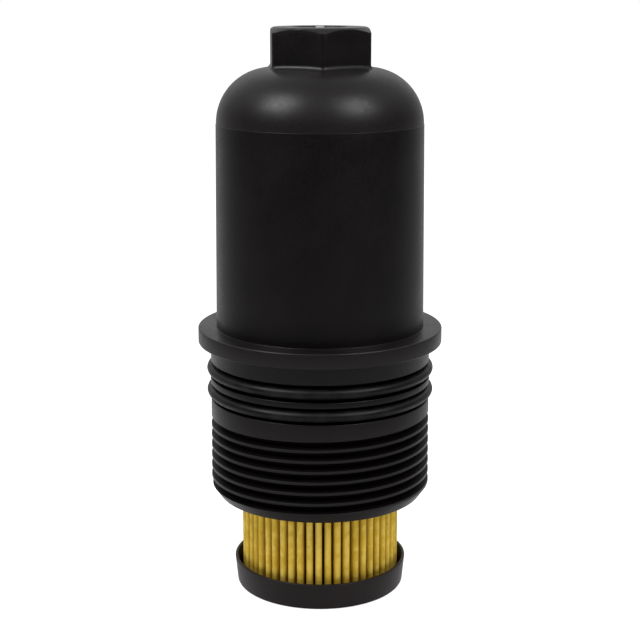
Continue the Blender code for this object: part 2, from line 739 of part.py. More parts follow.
def centre_tube():
    """The perforated tube that keeps the pleats from collapsing inwards."""
    bottom, top = LOWER_COLLAR_Z + GAP, UPPER_RIM_Z + TUBE_TOP_GAP
    tube = turned(
        "centre_tube",
        [
            (COLLAR_RADIUS, top),
            (COLLAR_RADIUS, bottom),
            (CENTRE_TUBE_BORE, bottom),
            (CENTRE_TUBE_BORE, top),
        ],
        natural_nylon,
    )
    pitch = (top - bottom - 2 * WINDOW_MARGIN) / WINDOW_ROWS
    first = bottom + WINDOW_MARGIN + pitch / 2
    middle = (COLLAR_RADIUS + CENTRE_TUBE_BORE) / 2
    size = (WINDOW_DEPTH, WINDOW_WIDTH, pitch - WINDOW_SPACING)
    windows = boxes(
        "tube_windows",
        [
            (size, round_axis(column * 360 / WINDOW_COLUMNS, middle, first + row * pitch))
            for row in range(WINDOW_ROWS)
            for column in range(WINDOW_COLUMNS)
        ],
    )
    boolean(tube, windows, "DIFFERENCE")


def adhesive(name, bottom, top):
    """A ring of cured adhesive that bonds the pleats' ends into an end cap."""
    inner = COLLAR_RADIUS + GAP
    outer = min(LOWER_BASE_RADIUS - GAP, UPPER_CAP_RADIUS) - END_CAP_WALL - GAP
    turned(name, [(outer, top), (outer, bottom), (inner, bottom), (inner, top)], cured_adhesive)


def pleat_outlines():
    """The paper's outer and inner outlines, seen from above: closed loops of (x, y) points."""
    outer, inner = [], []
    pitch = 2 * math.pi / PLEAT_COUNT
    tip_angle = PLEAT_TIP_WIDTH / MEDIA_OUTER_RADIUS
    inner_fold = MEDIA_INNER_RADIUS + PAPER_THICKNESS
    outer_fold = MEDIA_OUTER_RADIUS - PAPER_THICKNESS

    def point(radius, angle):
        return (radius * math.cos(angle), radius * math.sin(angle))

    def valley_half(i):
        return SEAM_THICKNESS / 2 + GAP if i == SEAM_PLEAT else PLEAT_VALLEY_WIDTH / 2

    def mouth_half(i):
        """Half the angle of a valley's mouth, where the next pleat's tip begins."""
        wide = i == SEAM_PLEAT
        return valley_half(i) / MEDIA_OUTER_RADIUS if wide else (pitch - tip_angle) / 2

    for i in range(PLEAT_COUNT):
        tip = (i + PLEAT_PHASE) * pitch
        valley = tip + pitch / 2
        start = tip - pitch / 2 + mouth_half((i - 1) % PLEAT_COUNT)
        end = valley - mouth_half(i)
        outer += [point(MEDIA_OUTER_RADIUS, start), point(MEDIA_OUTER_RADIUS, end)]
        paper = PAPER_THICKNESS / outer_fold
        inner += [point(outer_fold, start + paper), point(outer_fold, end - paper)]
        floor = SEAM_FLOOR_RADIUS if i == SEAM_PLEAT else inner_fold
        inside = floor - PAPER_THICKNESS
        fold = valley_half(i) + PAPER_THICKNESS
        for side in (-1, 1):
            outer.append(point(floor, valley + side * valley_half(i) / floor))
            inner.append(point(inside, valley + side * fold / inside))
    return outer, inner


def pleated_media(bottom, top):
    """The folded filter paper: a flat outline with a hole, drawn up to the element's height."""
    curve = bpy.data.curves.new("pleated_media", "CURVE")
    curve.dimensions = "2D"
    curve.fill_mode = "BOTH"
    curve.extrude = (top - bottom) / 2
    for loop in pleat_outlines():
        spline = curve.splines.new("POLY")
        spline.points.add(len(loop) - 1)
        for point, (x, y) in zip(spline.points, loop):
            point.co = (x, y, 0.0, 1.0)
        spline.use_cyclic_u = True
    curve.materials.append(filter_paper)
    obj = bpy.data.objects.new("pleated_media", curve)
    obj.location.z = (top + bottom) / 2
    parts.objects.link(obj)


def media_seam_strip(bottom, top):
    """The strip that closes the paper's two ends, in the valley at the back of the element."""
    radius = MEDIA_OUTER_RADIUS - SEAM_INSET - SEAM_DEPTH / 2
    angle = (SEAM_PLEAT + PLEAT_PHASE + 0.5) * 2 * math.pi / PLEAT_COUNT
    bpy.ops.mesh.primitive_cube_add(
        size=1.0,
        location=(radius * math.cos(angle), radius * math.sin(angle), (top + bottom) / 2),
        rotation=(0.0, 0.0, angle),
        scale=(SEAM_DEPTH, SEAM_THICKNESS, top - bottom),
    )
    obj = bpy.context.object
    obj.name = "media_seam_strip"
    bpy.ops.object.transform_apply(location=False, rotation=False, scale=True)
    for home in list(obj.users_collection):
        home.objects.unlink(obj)
    parts.objects.link(obj)
    rounding = obj.modifiers.new("Rounding", "BEVEL")
    rounding.width = SEAM_ROUNDING
    rounding.segments = 1
    obj.data.materials.append(spring_steel)


clear_scene()
parts = new_collection(COLLECTION, hidden=False)
cutters = new_collection("cutters", hidden=True)

black_nylon = make_material("black_nylon", (0.006, 0.005, 0.005), 0.42)
natural_nylon = make_material("natural_nylon", (0.070, 0.068, 0.066), 0.50)
black_rubber = make_material("black_rubber", (0.005, 0.0045, 0.0045), 0.38)
filter_paper = make_material("filter_paper", (0.640, 0.430, 0.055), 0.85)
cured_adhesive = make_material("cured_adhesive", (0.300, 0.120, 0.040), 0.45)
spring_steel = make_material("spring_steel", (0.480, 0.470, 0.450), 0.32, metallic=1.0)
plated_steel = make_material("plated_steel", (0.560, 0.550, 0.520), 0.38, metallic=1.0)

cap_housing()
cap_o_rings()
valve_carrier()
carrier_o_ring()
valve_seat_ring()
bypass_spring(bypass_valve())
spring_retainer()
upper_end_cap()
lower_end_cap()
outlet_seal_ring()
centre_tube()
lower_bond_z = END_CAP_FLOOR + GAP
upper_bond_z = UPPER_DISC_Z - END_CAP_FLOOR - GAP
adhesive("lower_adhesive", lower_bond_z, lower_bond_z + ADHESIVE_DEPTH)
adhesive("upper_adhesive", upper_bond_z - ADHESIVE_DEPTH, upper_bond_z)
media_bottom = lower_bond_z + ADHESIVE_DEPTH + GAP
media_top = upper_bond_z - ADHESIVE_DEPTH - GAP
pleated_media(media_bottom, media_top)
media_seam_strip(media_bottom, media_top)
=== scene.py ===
"""The looks of the oil filter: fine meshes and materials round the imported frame. Metres, +Z up."""

import math

import bmesh
import bpy
from mathutils import Matrix, Vector, noise


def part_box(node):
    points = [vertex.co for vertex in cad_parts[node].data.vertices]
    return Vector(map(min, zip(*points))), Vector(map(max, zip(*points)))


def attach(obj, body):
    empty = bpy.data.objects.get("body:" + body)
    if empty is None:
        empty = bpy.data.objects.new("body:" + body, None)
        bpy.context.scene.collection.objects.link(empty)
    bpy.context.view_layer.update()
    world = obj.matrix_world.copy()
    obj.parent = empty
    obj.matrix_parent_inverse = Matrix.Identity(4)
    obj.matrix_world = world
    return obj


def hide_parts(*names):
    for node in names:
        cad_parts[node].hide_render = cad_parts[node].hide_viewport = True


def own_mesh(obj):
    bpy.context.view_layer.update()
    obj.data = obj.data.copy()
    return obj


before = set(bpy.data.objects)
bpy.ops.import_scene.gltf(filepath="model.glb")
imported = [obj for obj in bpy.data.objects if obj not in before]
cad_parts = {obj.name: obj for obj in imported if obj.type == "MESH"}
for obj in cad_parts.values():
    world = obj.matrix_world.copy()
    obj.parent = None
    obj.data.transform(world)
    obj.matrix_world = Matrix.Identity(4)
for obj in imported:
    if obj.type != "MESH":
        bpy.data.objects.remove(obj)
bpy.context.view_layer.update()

# Places read from the frame
CAP_LOW, CAP_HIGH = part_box("cap_housing")
SEAT_LOW, SEAT_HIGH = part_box("valve_seat_ring")
VALVE_LOW, VALVE_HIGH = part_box("bypass_valve_plate")
SEAL_LOW, SEAL_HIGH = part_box("bypass_valve_seal")
RETAINER_LOW, RETAINER_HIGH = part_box("spring_retainer")
SPRING_LOW, SPRING_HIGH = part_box("bypass_spring")
CARRIER_LOW, CARRIER_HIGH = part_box("valve_carrier")
UPPER_CAP_LOW, UPPER_CAP_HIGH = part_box("upper_end_cap")
LOWER_CAP_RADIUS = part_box("lower_end_cap")[1].x
OUTLET_SEAL_LOW, OUTLET_SEAL_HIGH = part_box("outlet_seal_ring")
TUBE_LOW, TUBE_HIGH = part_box("centre_tube")
MEDIA_LOW, MEDIA_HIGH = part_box("pleated_media")
TOP_Z = CAP_HIGH.z - 0.0002  # the hexagon's top face, just below the gate's stub
SKIRT_Z = CAP_LOW.z
FLANGE_RADIUS = CAP_HIGH.x

# The cap's shape, in the CAD's own dimensions
HEX_ACROSS_FLATS = 0.0320
HEX_CORNER_RADIUS = 0.0021
HEX_CHAMFER_RADIUS = 0.0152
HEX_CHAMFER_SLOPE = 0.60
HEX_FILLET = 0.0016
HEX_FOOT = 0.0015  # height over which the dome's finish gives way to the hexagon's
DISH_RADIUS = 0.0092
DISH_DEPTH = 0.0012
GATE_RADIUS = 0.0014
GATE_RISE = 0.0002
CROWN_Z = 0.1775
DOME_ARC = 0.0180
BODY_TOP_RADIUS = 0.0343
BODY_FOOT_RADIUS = 0.0350
BODY_TOP_Z = 0.1592
MOULD_STEP = 0.00012
DOME_CENTRE_RADIUS = BODY_TOP_RADIUS - MOULD_STEP - DOME_ARC
CAP_WALL = 0.0032
FLANGE_TOP_Z = 0.0915
FLANGE_BOTTOM_Z = 0.0862
NECK_RADIUS = 0.0371
GROOVE_TOPS = (0.0800, 0.0724)
GROOVE_BOTTOMS = (0.0744, 0.0670)
GROOVE_FLOOR_RADIUS = 0.03465
O_RING_SECTION = 0.0035
LAND_RADIUS = 0.0373
THREAD_PITCH = 0.0036
THREAD_TOP_RADIUS = 0.03715
THREAD_BOTTOM_RADIUS = 0.03745
THREAD_ROOT_RADIUS = 0.0350
THREAD_GROOVE_WIDTH = 0.0026
THREAD_FIRST_Z = 0.0366
THREAD_TURNS = 7.03
THREAD_FADE = math.radians(40)
SKIRT_CHAMFER_Z = 0.0368
SKIRT_BOTTOM_RADIUS = 0.0349
SKIRT_BORE_RADIUS = 0.0324
POCKET_RADIUS = 0.0118
POCKET_Z = 0.1855
SOCKET_LIP_RADIUS = 0.0122
SOCKET_BORE_RADIUS = 0.0132
SOCKET_OUTER_RADIUS = 0.0158
SOCKET_BOTTOM_Z = 0.1640
SOCKET_LIP_HEIGHT = 0.0020
RIB_COUNT = 8
RIB_WIDTH = 0.0016
RIB_REACH_RADIUS = 0.0302
RIB_HALF_ANGLE = RIB_WIDTH / 2 / RIB_REACH_RADIUS
RIB_BOTTOM_Z = 0.0960

# The carrier and the valve in it
HOOK_RADIUS = 0.0129
SHOULDER_RADIUS = 0.0150
SHOULDER = 0.0020
STOP_Z = 0.1526
CARRIER_TUBE_RADIUS = 0.0118
SPIGOT_RADIUS = 0.0116
SPIGOT_BORE_RADIUS = 0.0092
SPIGOT_GROOVE_RADIUS = 0.0104
SPIGOT_RING_Z = 0.1461
SPIGOT_RING_SECTION = 0.0018
SEAT_HOLE_RADIUS = 0.0056
VALVE_RADIUS = 0.0079
STEM_RADIUS = 0.0015
PLATE_THICKNESS = 0.0012
SPRING_MEAN_RADIUS = 0.0056
SPRING_WIRE = 0.0009
SPRING_TURNS = 3
GAP = 0.0003

# The element
END_CAP_FLOOR = 0.0022
END_CAP_WALL = 0.0010
UPPER_DISC_Z = 0.1485
COLLAR_BORE_RADIUS = 0.0127
COLLAR_RADIUS = 0.0150
LOWER_BASE_RADIUS = 0.0288
LOWER_RIM_Z = 0.0092
LOWER_COLLAR_Z = 0.0090
OUTLET_RADIUS = 0.0112
OUTLET_LIP = 0.0015
SEAL_SEAT_RADIUS = 0.0133
SEAL_BORE_RADIUS = 0.0096
TUBE_BORE_RADIUS = 0.0132
MEDIA_OUTER_RADIUS = 0.0271
MEDIA_INNER_RADIUS = 0.0156
PLEAT_COUNT = 52
PLEAT_PHASE = 0.35  # of a pitch, from the X axis to the first outer fold
PLEAT_TIP_WIDTH = 0.0023
PLEAT_VALLEY_WIDTH = 0.00030
PAPER = 0.0006
SEAM_PLEAT = 12
SEAM_STRIP_DEPTH = 0.0055
SEAM_HALF_WIDTH = 0.0006
SEAM_FLOOR_RADIUS = 0.0198

# Roundings of moulded and cut edges
FINE = 0.0001
CRISP = 0.0002
SOFT = 0.0003
WIDE = 0.0004
BROAD = 0.0005

ROUND = 192  # columns round a large turned piece
SMALL_ROUND = 96
SHARP = math.radians(32)  # sharper edges than this stay creased
MOULD_FLASH = 0.00003  # the line round a moulded ring


# ------ meshes


def new_object(name, mesh):
    obj = bpy.data.objects.new(name, mesh)
    bpy.context.scene.collection.objects.link(obj)
    return obj


def finish_surface(obj, smooth_all=False):
    """Smooth shading, with creases that stay sharp unless the whole surface is smooth."""
    mesh = obj.data
    mesh.shade_smooth()
    if not smooth_all:
        mesh.set_sharp_from_angle(angle=SHARP)
    return obj


def evaluated(obj):
    """Applies an object's modifiers to its mesh."""
    bpy.context.view_layer.update()
    graph = bpy.context.evaluated_depsgraph_get()
    mesh = bpy.data.meshes.new_from_object(obj.evaluated_get(graph))
    obj.modifiers.clear()
    obj.data = mesh


def rounded(corners, closed=True, step=math.radians(18)):
    """An outline whose corners are rounded. A corner is (radius, height) or (radius, height, fillet)."""
    points = []
    count = len(corners)
    for i, corner in enumerate(corners):
        here = Vector(corner[:2])
        ends = not closed and i in (0, count - 1)
        if len(corner) == 2 or ends:
            points.append(tuple(here))
            continue
        before = (Vector(corners[i - 1][:2]) - here).normalized()
        after = (Vector(corners[(i + 1) % count][:2]) - here).normalized()
        half = before.angle(after) / 2
        reach = corner[2] / math.tan(half)
        centre = here + (before + after).normalized() * corner[2] / math.sin(half)
        first, last = here + before * reach - centre, here + after * reach - centre
        turn = first.angle_signed(last)
        steps = max(1, math.ceil(abs(turn) / step))
        start = math.atan2(first.y, first.x)
        for k in range(steps + 1):
            angle = start - turn * k / steps
            points.append((centre.x + corner[2] * math.cos(angle), centre.y + corner[2] * math.sin(angle)))
    return points


def even_angles(count):
    return [2 * math.pi * i / count for i in range(count)]


def ring_solid(name, rings, angles):
    """A closed surface through rings of points. A ring is (radius, height), or a function of the angle that
    gives it. The rings run down the outer side; a first or last radius of 0 is a pole on the axis."""
    built = bmesh.new()
    loops = []
    for ring in rings:
        at = ring if callable(ring) else (lambda angle, ring=ring: ring)
        if at(0.0)[0] == 0.0:
            loops.append([built.verts.new((0.0, 0.0, at(0.0)[1]))])
            continue
        places = [(angle, at(angle)) for angle in angles]
        loops.append([built.verts.new((r * math.cos(a), r * math.sin(a), z)) for a, (r, z) in places])
    pairs = list(zip(loops, loops[1:]))
    if len(loops[0]) > 1:
        pairs.append((loops[-1], loops[0]))
    count = len(angles)
    for upper, lower in pairs:
        for j in range(count):
            k = (j + 1) % count
            ends = [loop[m % len(loop)] for loop, m in ((upper, j), (lower, j), (lower, k), (upper, k))]
            built.faces.new(list(dict.fromkeys(ends)))
    mesh = bpy.data.meshes.new(name)
    built.to_mesh(mesh)
    built.free()
    return new_object(name, mesh)


def turned(name, corners, columns=SMALL_ROUND):
    """A turned piece with its corners rounded."""
    closed = corners[0][0] > 0
    return finish_surface(ring_solid(name, rounded(corners, closed), even_angles(columns)))


def sleeve(name, outer, inner, top, bottom, edges, columns=SMALL_ROUND):
    """A plain ring. The edges' roundings run from the outer top one down and round to the inner top one."""
    places = ((outer, top), (outer, bottom), (inner, bottom), (inner, top))
    return turned(name, [(*place, edge) for place, edge in zip(places, edges)], columns)


def o_ring(name, mean_radius, section, height, columns=ROUND, flash=MOULD_FLASH):
    """A rubber ring of round section with the fine flash line that its mould leaves at the outside."""
    sides = 28
    rings = []
    for i in range(sides):
        angle = math.pi / 2 - 2 * math.pi * i / sides
        swell = flash if i == sides // 4 else 0.0
        reach = section / 2 - flash + swell
        rings.append((mean_radius + reach * math.cos(angle), height + reach * math.sin(angle)))
    return finish_surface(ring_solid(name, rings, even_angles(columns)), smooth_all=True)


def block(size, place, rounding):
    """A box with rounded edges, used as a cutter or as a plain bar."""
    built = bmesh.new()
    bmesh.ops.create_cube(built, size=1.0, matrix=Matrix.Diagonal((*size, 1.0)))
    bmesh.ops.bevel(built, geom=built.edges[:], offset=rounding, segments=3, profile=0.5, affect="EDGES")
    built.transform(place)
    return built


def joined(name, blocks):
    """One mesh object of separate blocks."""
    whole = bpy.data.meshes.new(name)
    gathered = bmesh.new()
    for built in blocks:
        part = bpy.data.meshes.new("block")
        built.to_mesh(part)
        built.free()
        gathered.from_mesh(part)
        bpy.data.meshes.remove(part)
    gathered.to_mesh(whole)
    gathered.free()
    return new_object(name, whole)


def round_place(angle, radius, height):
    """A place at a radius and height, turned by an angle in degrees about the Z axis."""
    return Matrix.Rotation(math.radians(angle), 4, "Z") @ Matrix.Translation((radius, 0.0, height))


def cut(obj, cutter):
    """Takes a cutter's shape out of an object and removes the cutter."""
    modifier = obj.modifiers.new("Cut", "BOOLEAN")
    modifier.operation = "DIFFERENCE"
    modifier.solver = "EXACT"
    modifier.object = cutter
    evaluated(obj)
    bpy.data.objects.remove(cutter, do_unlink=True)
    return finish_surface(obj)


# ------ materials


class Nodes:
    """A material under construction: a few short calls for the nodes that every finish here uses."""

    def __init__(self, name):
        self.material = bpy.data.materials.new(name)
        self.material.use_nodes = True
        self.tree = self.material.node_tree
        self.shader = self.tree.nodes["Principled BSDF"]
        self.place = self.add("ShaderNodeTexCoord").outputs["Object"]

    def add(self, kind, inputs=None, **settings):
        node = self.tree.nodes.new(kind)
        for key, value in settings.items():
            setattr(node, key, value)
        for key, value in (inputs or {}).items():
            self.link(value, node.inputs[key])
        return node

    def link(self, value, socket):
        """Joins an output to a socket, or sets the socket when the value is a plain number."""
        if isinstance(value, bpy.types.NodeSocket):
            self.tree.links.new(value, socket)
        else:
            socket.default_value = value

    def stretched(self, scale):
        return self.add("ShaderNodeMapping", {"Vector": self.place, "Scale": scale}).outputs["Vector"]

    def noise(self, scale, detail=3.0, rough=0.55, where=None):
        inputs = {"Vector": where or self.place, "Scale": scale, "Detail": detail, "Roughness": rough}
        return self.add("ShaderNodeTexNoise", inputs).outputs["Fac"]

    def cells(self, scale):
        return self.add("ShaderNodeTexVoronoi", {"Vector": self.place, "Scale": scale}).outputs["Distance"]

    def spread(self, value, low, high, to_low=0.0, to_high=1.0):
        """Maps low..high to to_low..to_high, held at both ends."""
        inputs = {"Value": value, "From Min": low, "From Max": high, "To Min": to_low, "To Max": to_high}
        return self.add("ShaderNodeMapRange", inputs, interpolation_type="SMOOTHSTEP").outputs["Result"]

    def math(self, operation, a, b=0.0):
        return self.add("ShaderNodeMath", {0: a, 1: b}, operation=operation).outputs["Value"]

    def mix(self, share, a, b):
        """Blends two colours, given as outputs or as (r, g, b)."""
        colours = [c if isinstance(c, bpy.types.NodeSocket) else (*c, 1.0) for c in (a, b)]
        inputs = {"Factor": share, "A": colours[0], "B": colours[1]}
        return self.add("ShaderNodeMix", inputs, data_type="RGBA").outputs["Result"]

    def bump(self, height, strength, distance, below=None):
        inputs = {"Strength": strength, "Distance": distance, "Height": height}
        if below:
            inputs["Normal"] = below
        return self.add("ShaderNodeBump", inputs).outputs["Normal"]

    def edges(self, low=0.52, high=0.60):
        """1 along convex edges, where handling polishes the surface."""
        return self.spread(self.add("ShaderNodeNewGeometry").outputs["Pointiness"], low, high)

    def height(self):
        return self.add("ShaderNodeSeparateXYZ", {"Vector": self.place}).outputs["Z"]

    def radius(self):
        """Distance from the filter's axis."""
        flat = self.add("ShaderNodeVectorMath", {0: self.place, 1: (1.0, 1.0, 0.0)}, operation="MULTIPLY")
        length = self.add("ShaderNodeVectorMath", {0: flat.outputs["Vector"]}, operation="LENGTH")
        return length.outputs["Value"]

    def surface(self, colour, roughness, normal=None, metallic=0.0, specular=0.5):
        self.link(colour, self.shader.inputs["Base Color"])
        self.link(roughness, self.shader.inputs["Roughness"])
        self.shader.inputs["Metallic"].default_value = metallic
        self.shader.inputs["Specular IOR Level"].default_value = specular
        if normal:
            self.link(normal, self.shader.inputs["Normal"])
        return self.material


def cap_marks(n, base, rough, grain, pits):
    """The cap's marks: a matter dome, flange and thread, a painted reflection on the hexagon's top and a pale
    gate stub.
    """
    height, radius = n.height(), n.radius()
    fade = 0.0002
    above_neck = n.spread(height, FLANGE_BOTTOM_Z - fade, FLANGE_BOTTOM_Z + fade)
    outside_body = n.spread(radius, BODY_FOOT_RADIUS + fade, BODY_FOOT_RADIUS + 3 * fade)
    flange = n.math("MULTIPLY", above_neck, outside_body)
    below_hexagon = n.spread(height, CROWN_Z + HEX_FOOT, CROWN_Z)
    dome = n.math("MULTIPLY", below_hexagon, n.spread(height, BODY_TOP_Z, BODY_TOP_Z + SOFT))
    below_seals = n.spread(height, GROOVE_BOTTOMS[1] + fade, GROOVE_BOTTOMS[1] - 2 * fade)
    matt = n.math("MAXIMUM", n.math("MAXIMUM", dome, flange), below_seals)
    base = n.mix(matt, base, (0.0072, 0.0052, 0.0058))
    # Painted reflection: pale grey on the hexagon's top face, in place of the bright backdrop it mirrors at a
    # grazing angle
    top = n.spread(height, TOP_Z - 2 * fade, TOP_Z)
    base = n.mix(n.math("MULTIPLY", top, n.spread(pits, 0.3, 0.6, 0.4, 1.0)), base, (0.060, 0.060, 0.060))
    above_dish = n.spread(height, TOP_Z - DISH_DEPTH * 0.75, TOP_Z - DISH_DEPTH * 0.5)
    stub = n.math("MULTIPLY", above_dish, n.spread(radius, GATE_RADIUS * 1.25, GATE_RADIUS * 1.1))
    base = n.mix(n.math("MULTIPLY", stub, n.spread(grain, 0.3, 0.6, 0.8, 1.0)), base, (0.75, 0.75, 0.75))
    return base, n.math("ADD", rough, n.math("MULTIPLY", stub, 0.3))


def moulded_plastic(name, colour, worn, roughness, specular=0.5, marks=None):
    """Glass-filled nylon: a fine eroded grain, faint flow marks, edges a little polished, specks of dust."""
    n = Nodes(name)
    clouds = n.noise(70.0, 4.0)
    flow = n.noise(1.0, 3.0, where=n.stretched((420.0, 420.0, 46.0)))
    grain = n.noise(2600.0, 2.0)
    pits = n.noise(900.0, 3.0, 0.7)
    edges = n.edges()
    darker = tuple(c * 0.80 for c in colour)
    lighter = tuple(c * 1.20 for c in colour)
    base = n.mix(n.spread(clouds, 0.35, 0.68), darker, lighter)
    base = n.mix(n.math("MULTIPLY", n.spread(flow, 0.52, 0.75), 0.12), base, worn)
    base = n.mix(n.math("MULTIPLY", edges, 0.3), base, worn)
    specks = n.spread(n.cells(260.0), 0.10, 0.03)
    dust = n.math("MULTIPLY", specks, n.spread(n.noise(900.0), 0.66, 0.72))
    base = n.mix(n.math("MULTIPLY", dust, 0.12), base, (0.30, 0.29, 0.28))
    rough = n.spread(clouds, 0.3, 0.7, roughness - 0.02, roughness + 0.03)
    rough = n.math("ADD", rough, n.math("MULTIPLY", edges, -0.04))
    rough = n.math("ADD", rough, n.spread(pits, 0.3, 0.7, -0.03, 0.04))
    if marks:
        base, rough = marks(n, base, rough, grain, pits)
    normal = n.bump(grain, 0.35, 0.00003)
    normal = n.bump(pits, 0.30, 0.00006, normal)
    return n.surface(base, rough, normal, specular=specular)


def rubber(name, colour, roughness, specular):
    """Smooth oiled rubber with a trace of bloom."""
    n = Nodes(name)
    bloom = n.noise(160.0, 4.0)
    skin = n.noise(1800.0, 2.0)
    base = n.mix(n.spread(bloom, 0.40, 0.75), colour, tuple(c * 2.4 + 0.002 for c in colour))
    rough = n.spread(bloom, 0.3, 0.7, roughness - 0.03, roughness + 0.09)
    return n.surface(base, rough, n.bump(skin, 0.22, 0.00003), specular=specular)


def paper():
    """Resin-treated filter paper: fibres, resin blotches, a painted highlight along the outer folds and
    painted shade deeper in the pleats.
    """
    n = Nodes("filter_paper")
    fibres = n.noise(1.0, 4.0, 0.65, where=n.stretched((1500.0, 1500.0, 520.0)))
    blotches = n.noise(120.0, 4.0)
    streaks = n.noise(1.0, 3.0, where=n.stretched((900.0, 900.0, 30.0)))
    felt = n.noise(3600.0, 3.0, 0.7)
    base = n.mix(n.spread(blotches, 0.35, 0.65), (0.49, 0.310, 0.018), (0.62, 0.415, 0.034))
    base = n.mix(n.math("MULTIPLY", n.spread(fibres, 0.45, 0.75), 0.35), base, (0.68, 0.49, 0.07))
    base = n.mix(n.math("MULTIPLY", n.spread(streaks, 0.55, 0.78), 0.45), base, (0.40, 0.22, 0.02))
    # Painted highlight: a paler colour along the outer folds, broken up by noise
    folds = n.spread(n.radius(), MEDIA_OUTER_RADIUS - 0.0009, MEDIA_OUTER_RADIUS)
    painted_fold_highlight = n.math("MULTIPLY", folds, n.spread(n.noise(240.0, 3.0), 0.42, 0.62, 0.15, 0.65))
    base = n.mix(painted_fold_highlight, base, (0.76, 0.56, 0.12))
    # Painted shade: the paper darkens towards the inner folds, where the pleats' valleys lie in shadow
    depth = n.spread(n.radius(), MEDIA_OUTER_RADIUS - 0.0006, MEDIA_OUTER_RADIUS - 0.0030, 0.0, 0.6)
    base = n.mix(depth, base, (0.36, 0.16, 0.02))
    normal = n.bump(fibres, 0.55, 0.00010)
    normal = n.bump(felt, 0.35, 0.00005, normal)
    return n.surface(base, n.spread(fibres, 0.3, 0.7, 0.78, 0.94), normal, specular=0.25)


def resin():
    """Cured amber adhesive, glossy, with small bubbles."""
    n = Nodes("cured_adhesive")
    ripple = n.noise(180.0, 3.0)
    bubbles = n.spread(n.cells(900.0), 0.05, 0.22)
    base = n.mix(n.spread(ripple, 0.35, 0.7), (0.20, 0.07, 0.018), (0.42, 0.19, 0.06))
    normal = n.bump(bubbles, 0.5, 0.00008, n.bump(ripple, 0.6, 0.0003))
    return n.surface(base, n.spread(ripple, 0.3, 0.7, 0.22, 0.40), normal)


def steel(name, colour, scale):
    """Drawn or stamped steel with fine scratches along its length and a dull spot here and there."""
    n = Nodes(name)
    scratches = n.noise(1.0, 4.0, 0.6, where=n.stretched(scale))
    spots = n.noise(260.0, 3.0)
    base = n.mix(n.spread(spots, 0.5, 0.75), colour, tuple(c * 0.62 for c in colour))
    base = n.mix(n.math("MULTIPLY", n.edges(), 0.6), base, tuple(min(1.0, c * 1.4) for c in colour))
    rough = n.math("ADD", n.spread(scratches, 0.3, 0.7, 0.22, 0.38), n.spread(spots, 0.5, 0.8, 0.0, 0.12))
    return n.surface(base, rough, n.bump(scratches, 0.3, 0.00002), metallic=1.0)


# ------ the cap


def hex_radius(angle, grow=0.0):
    """The rounded hexagon's radius at an angle, with the outline grown outwards by grow."""
    flat = HEX_ACROSS_FLATS / 2
    sixth, half = math.pi / 3, math.pi / 6
    from_corner = abs(angle % sixth - half)
    arc_radius = HEX_CORNER_RADIUS + grow
    arc_centre = (flat - HEX_CORNER_RADIUS) / math.cos(half)
    arc_end = math.atan2(arc_radius * math.sin(half), arc_centre + arc_radius * math.cos(half))
    if from_corner < arc_end:
        across = arc_centre * math.sin(from_corner)
        return arc_centre * math.cos(from_corner) + math.sqrt(arc_radius**2 - across**2)
    return (flat + grow) / math.cos(half - from_corner)


def crown_height(radius):
    """The height of the cap's crown and dome at a radius."""
    beyond = max(0.0, radius - DOME_CENTRE_RADIUS)
    return CROWN_Z - DOME_ARC + math.sqrt(DOME_ARC**2 - beyond**2)


def cap_angles():
    """Columns round the cap: closer together at the hexagon's corners, and in pairs at the ribs' sides."""
    full = 2 * math.pi
    corner_step, flat_step = math.radians(0.9), math.radians(2.2)
    corner_half = 5  # columns on each side of a corner
    side_step = 0.0025
    clearance = math.radians(0.3)
    angles = set()
    for corner in range(6):
        middle = math.radians(30 + 60 * corner)
        angles |= {round(middle + k * corner_step, 6) for k in range(-corner_half, corner_half + 1)}
        spread = full / 6 - 2 * corner_half * corner_step
        steps = round(spread / flat_step)
        angles |= {round(middle + corner_half * corner_step + spread * k / steps, 6) for k in range(1, steps)}
    angles = sorted(a % full for a in angles)
    sides = []
    for rib in range(RIB_COUNT):
        middle = full * (rib + 0.5) / RIB_COUNT
        sides += [middle + side * (RIB_HALF_ANGLE + extra) for side in (-1, 1) for extra in (0.0, side_step)]
    kept = [a for a in angles if min(abs(a - s) for s in sides) > clearance]
    return sorted(kept + sides)


def on_rib(angle):
    full = 2 * math.pi / RIB_COUNT
    tolerance = 0.001
    return abs(angle % full - full / 2) < RIB_HALF_ANGLE + tolerance


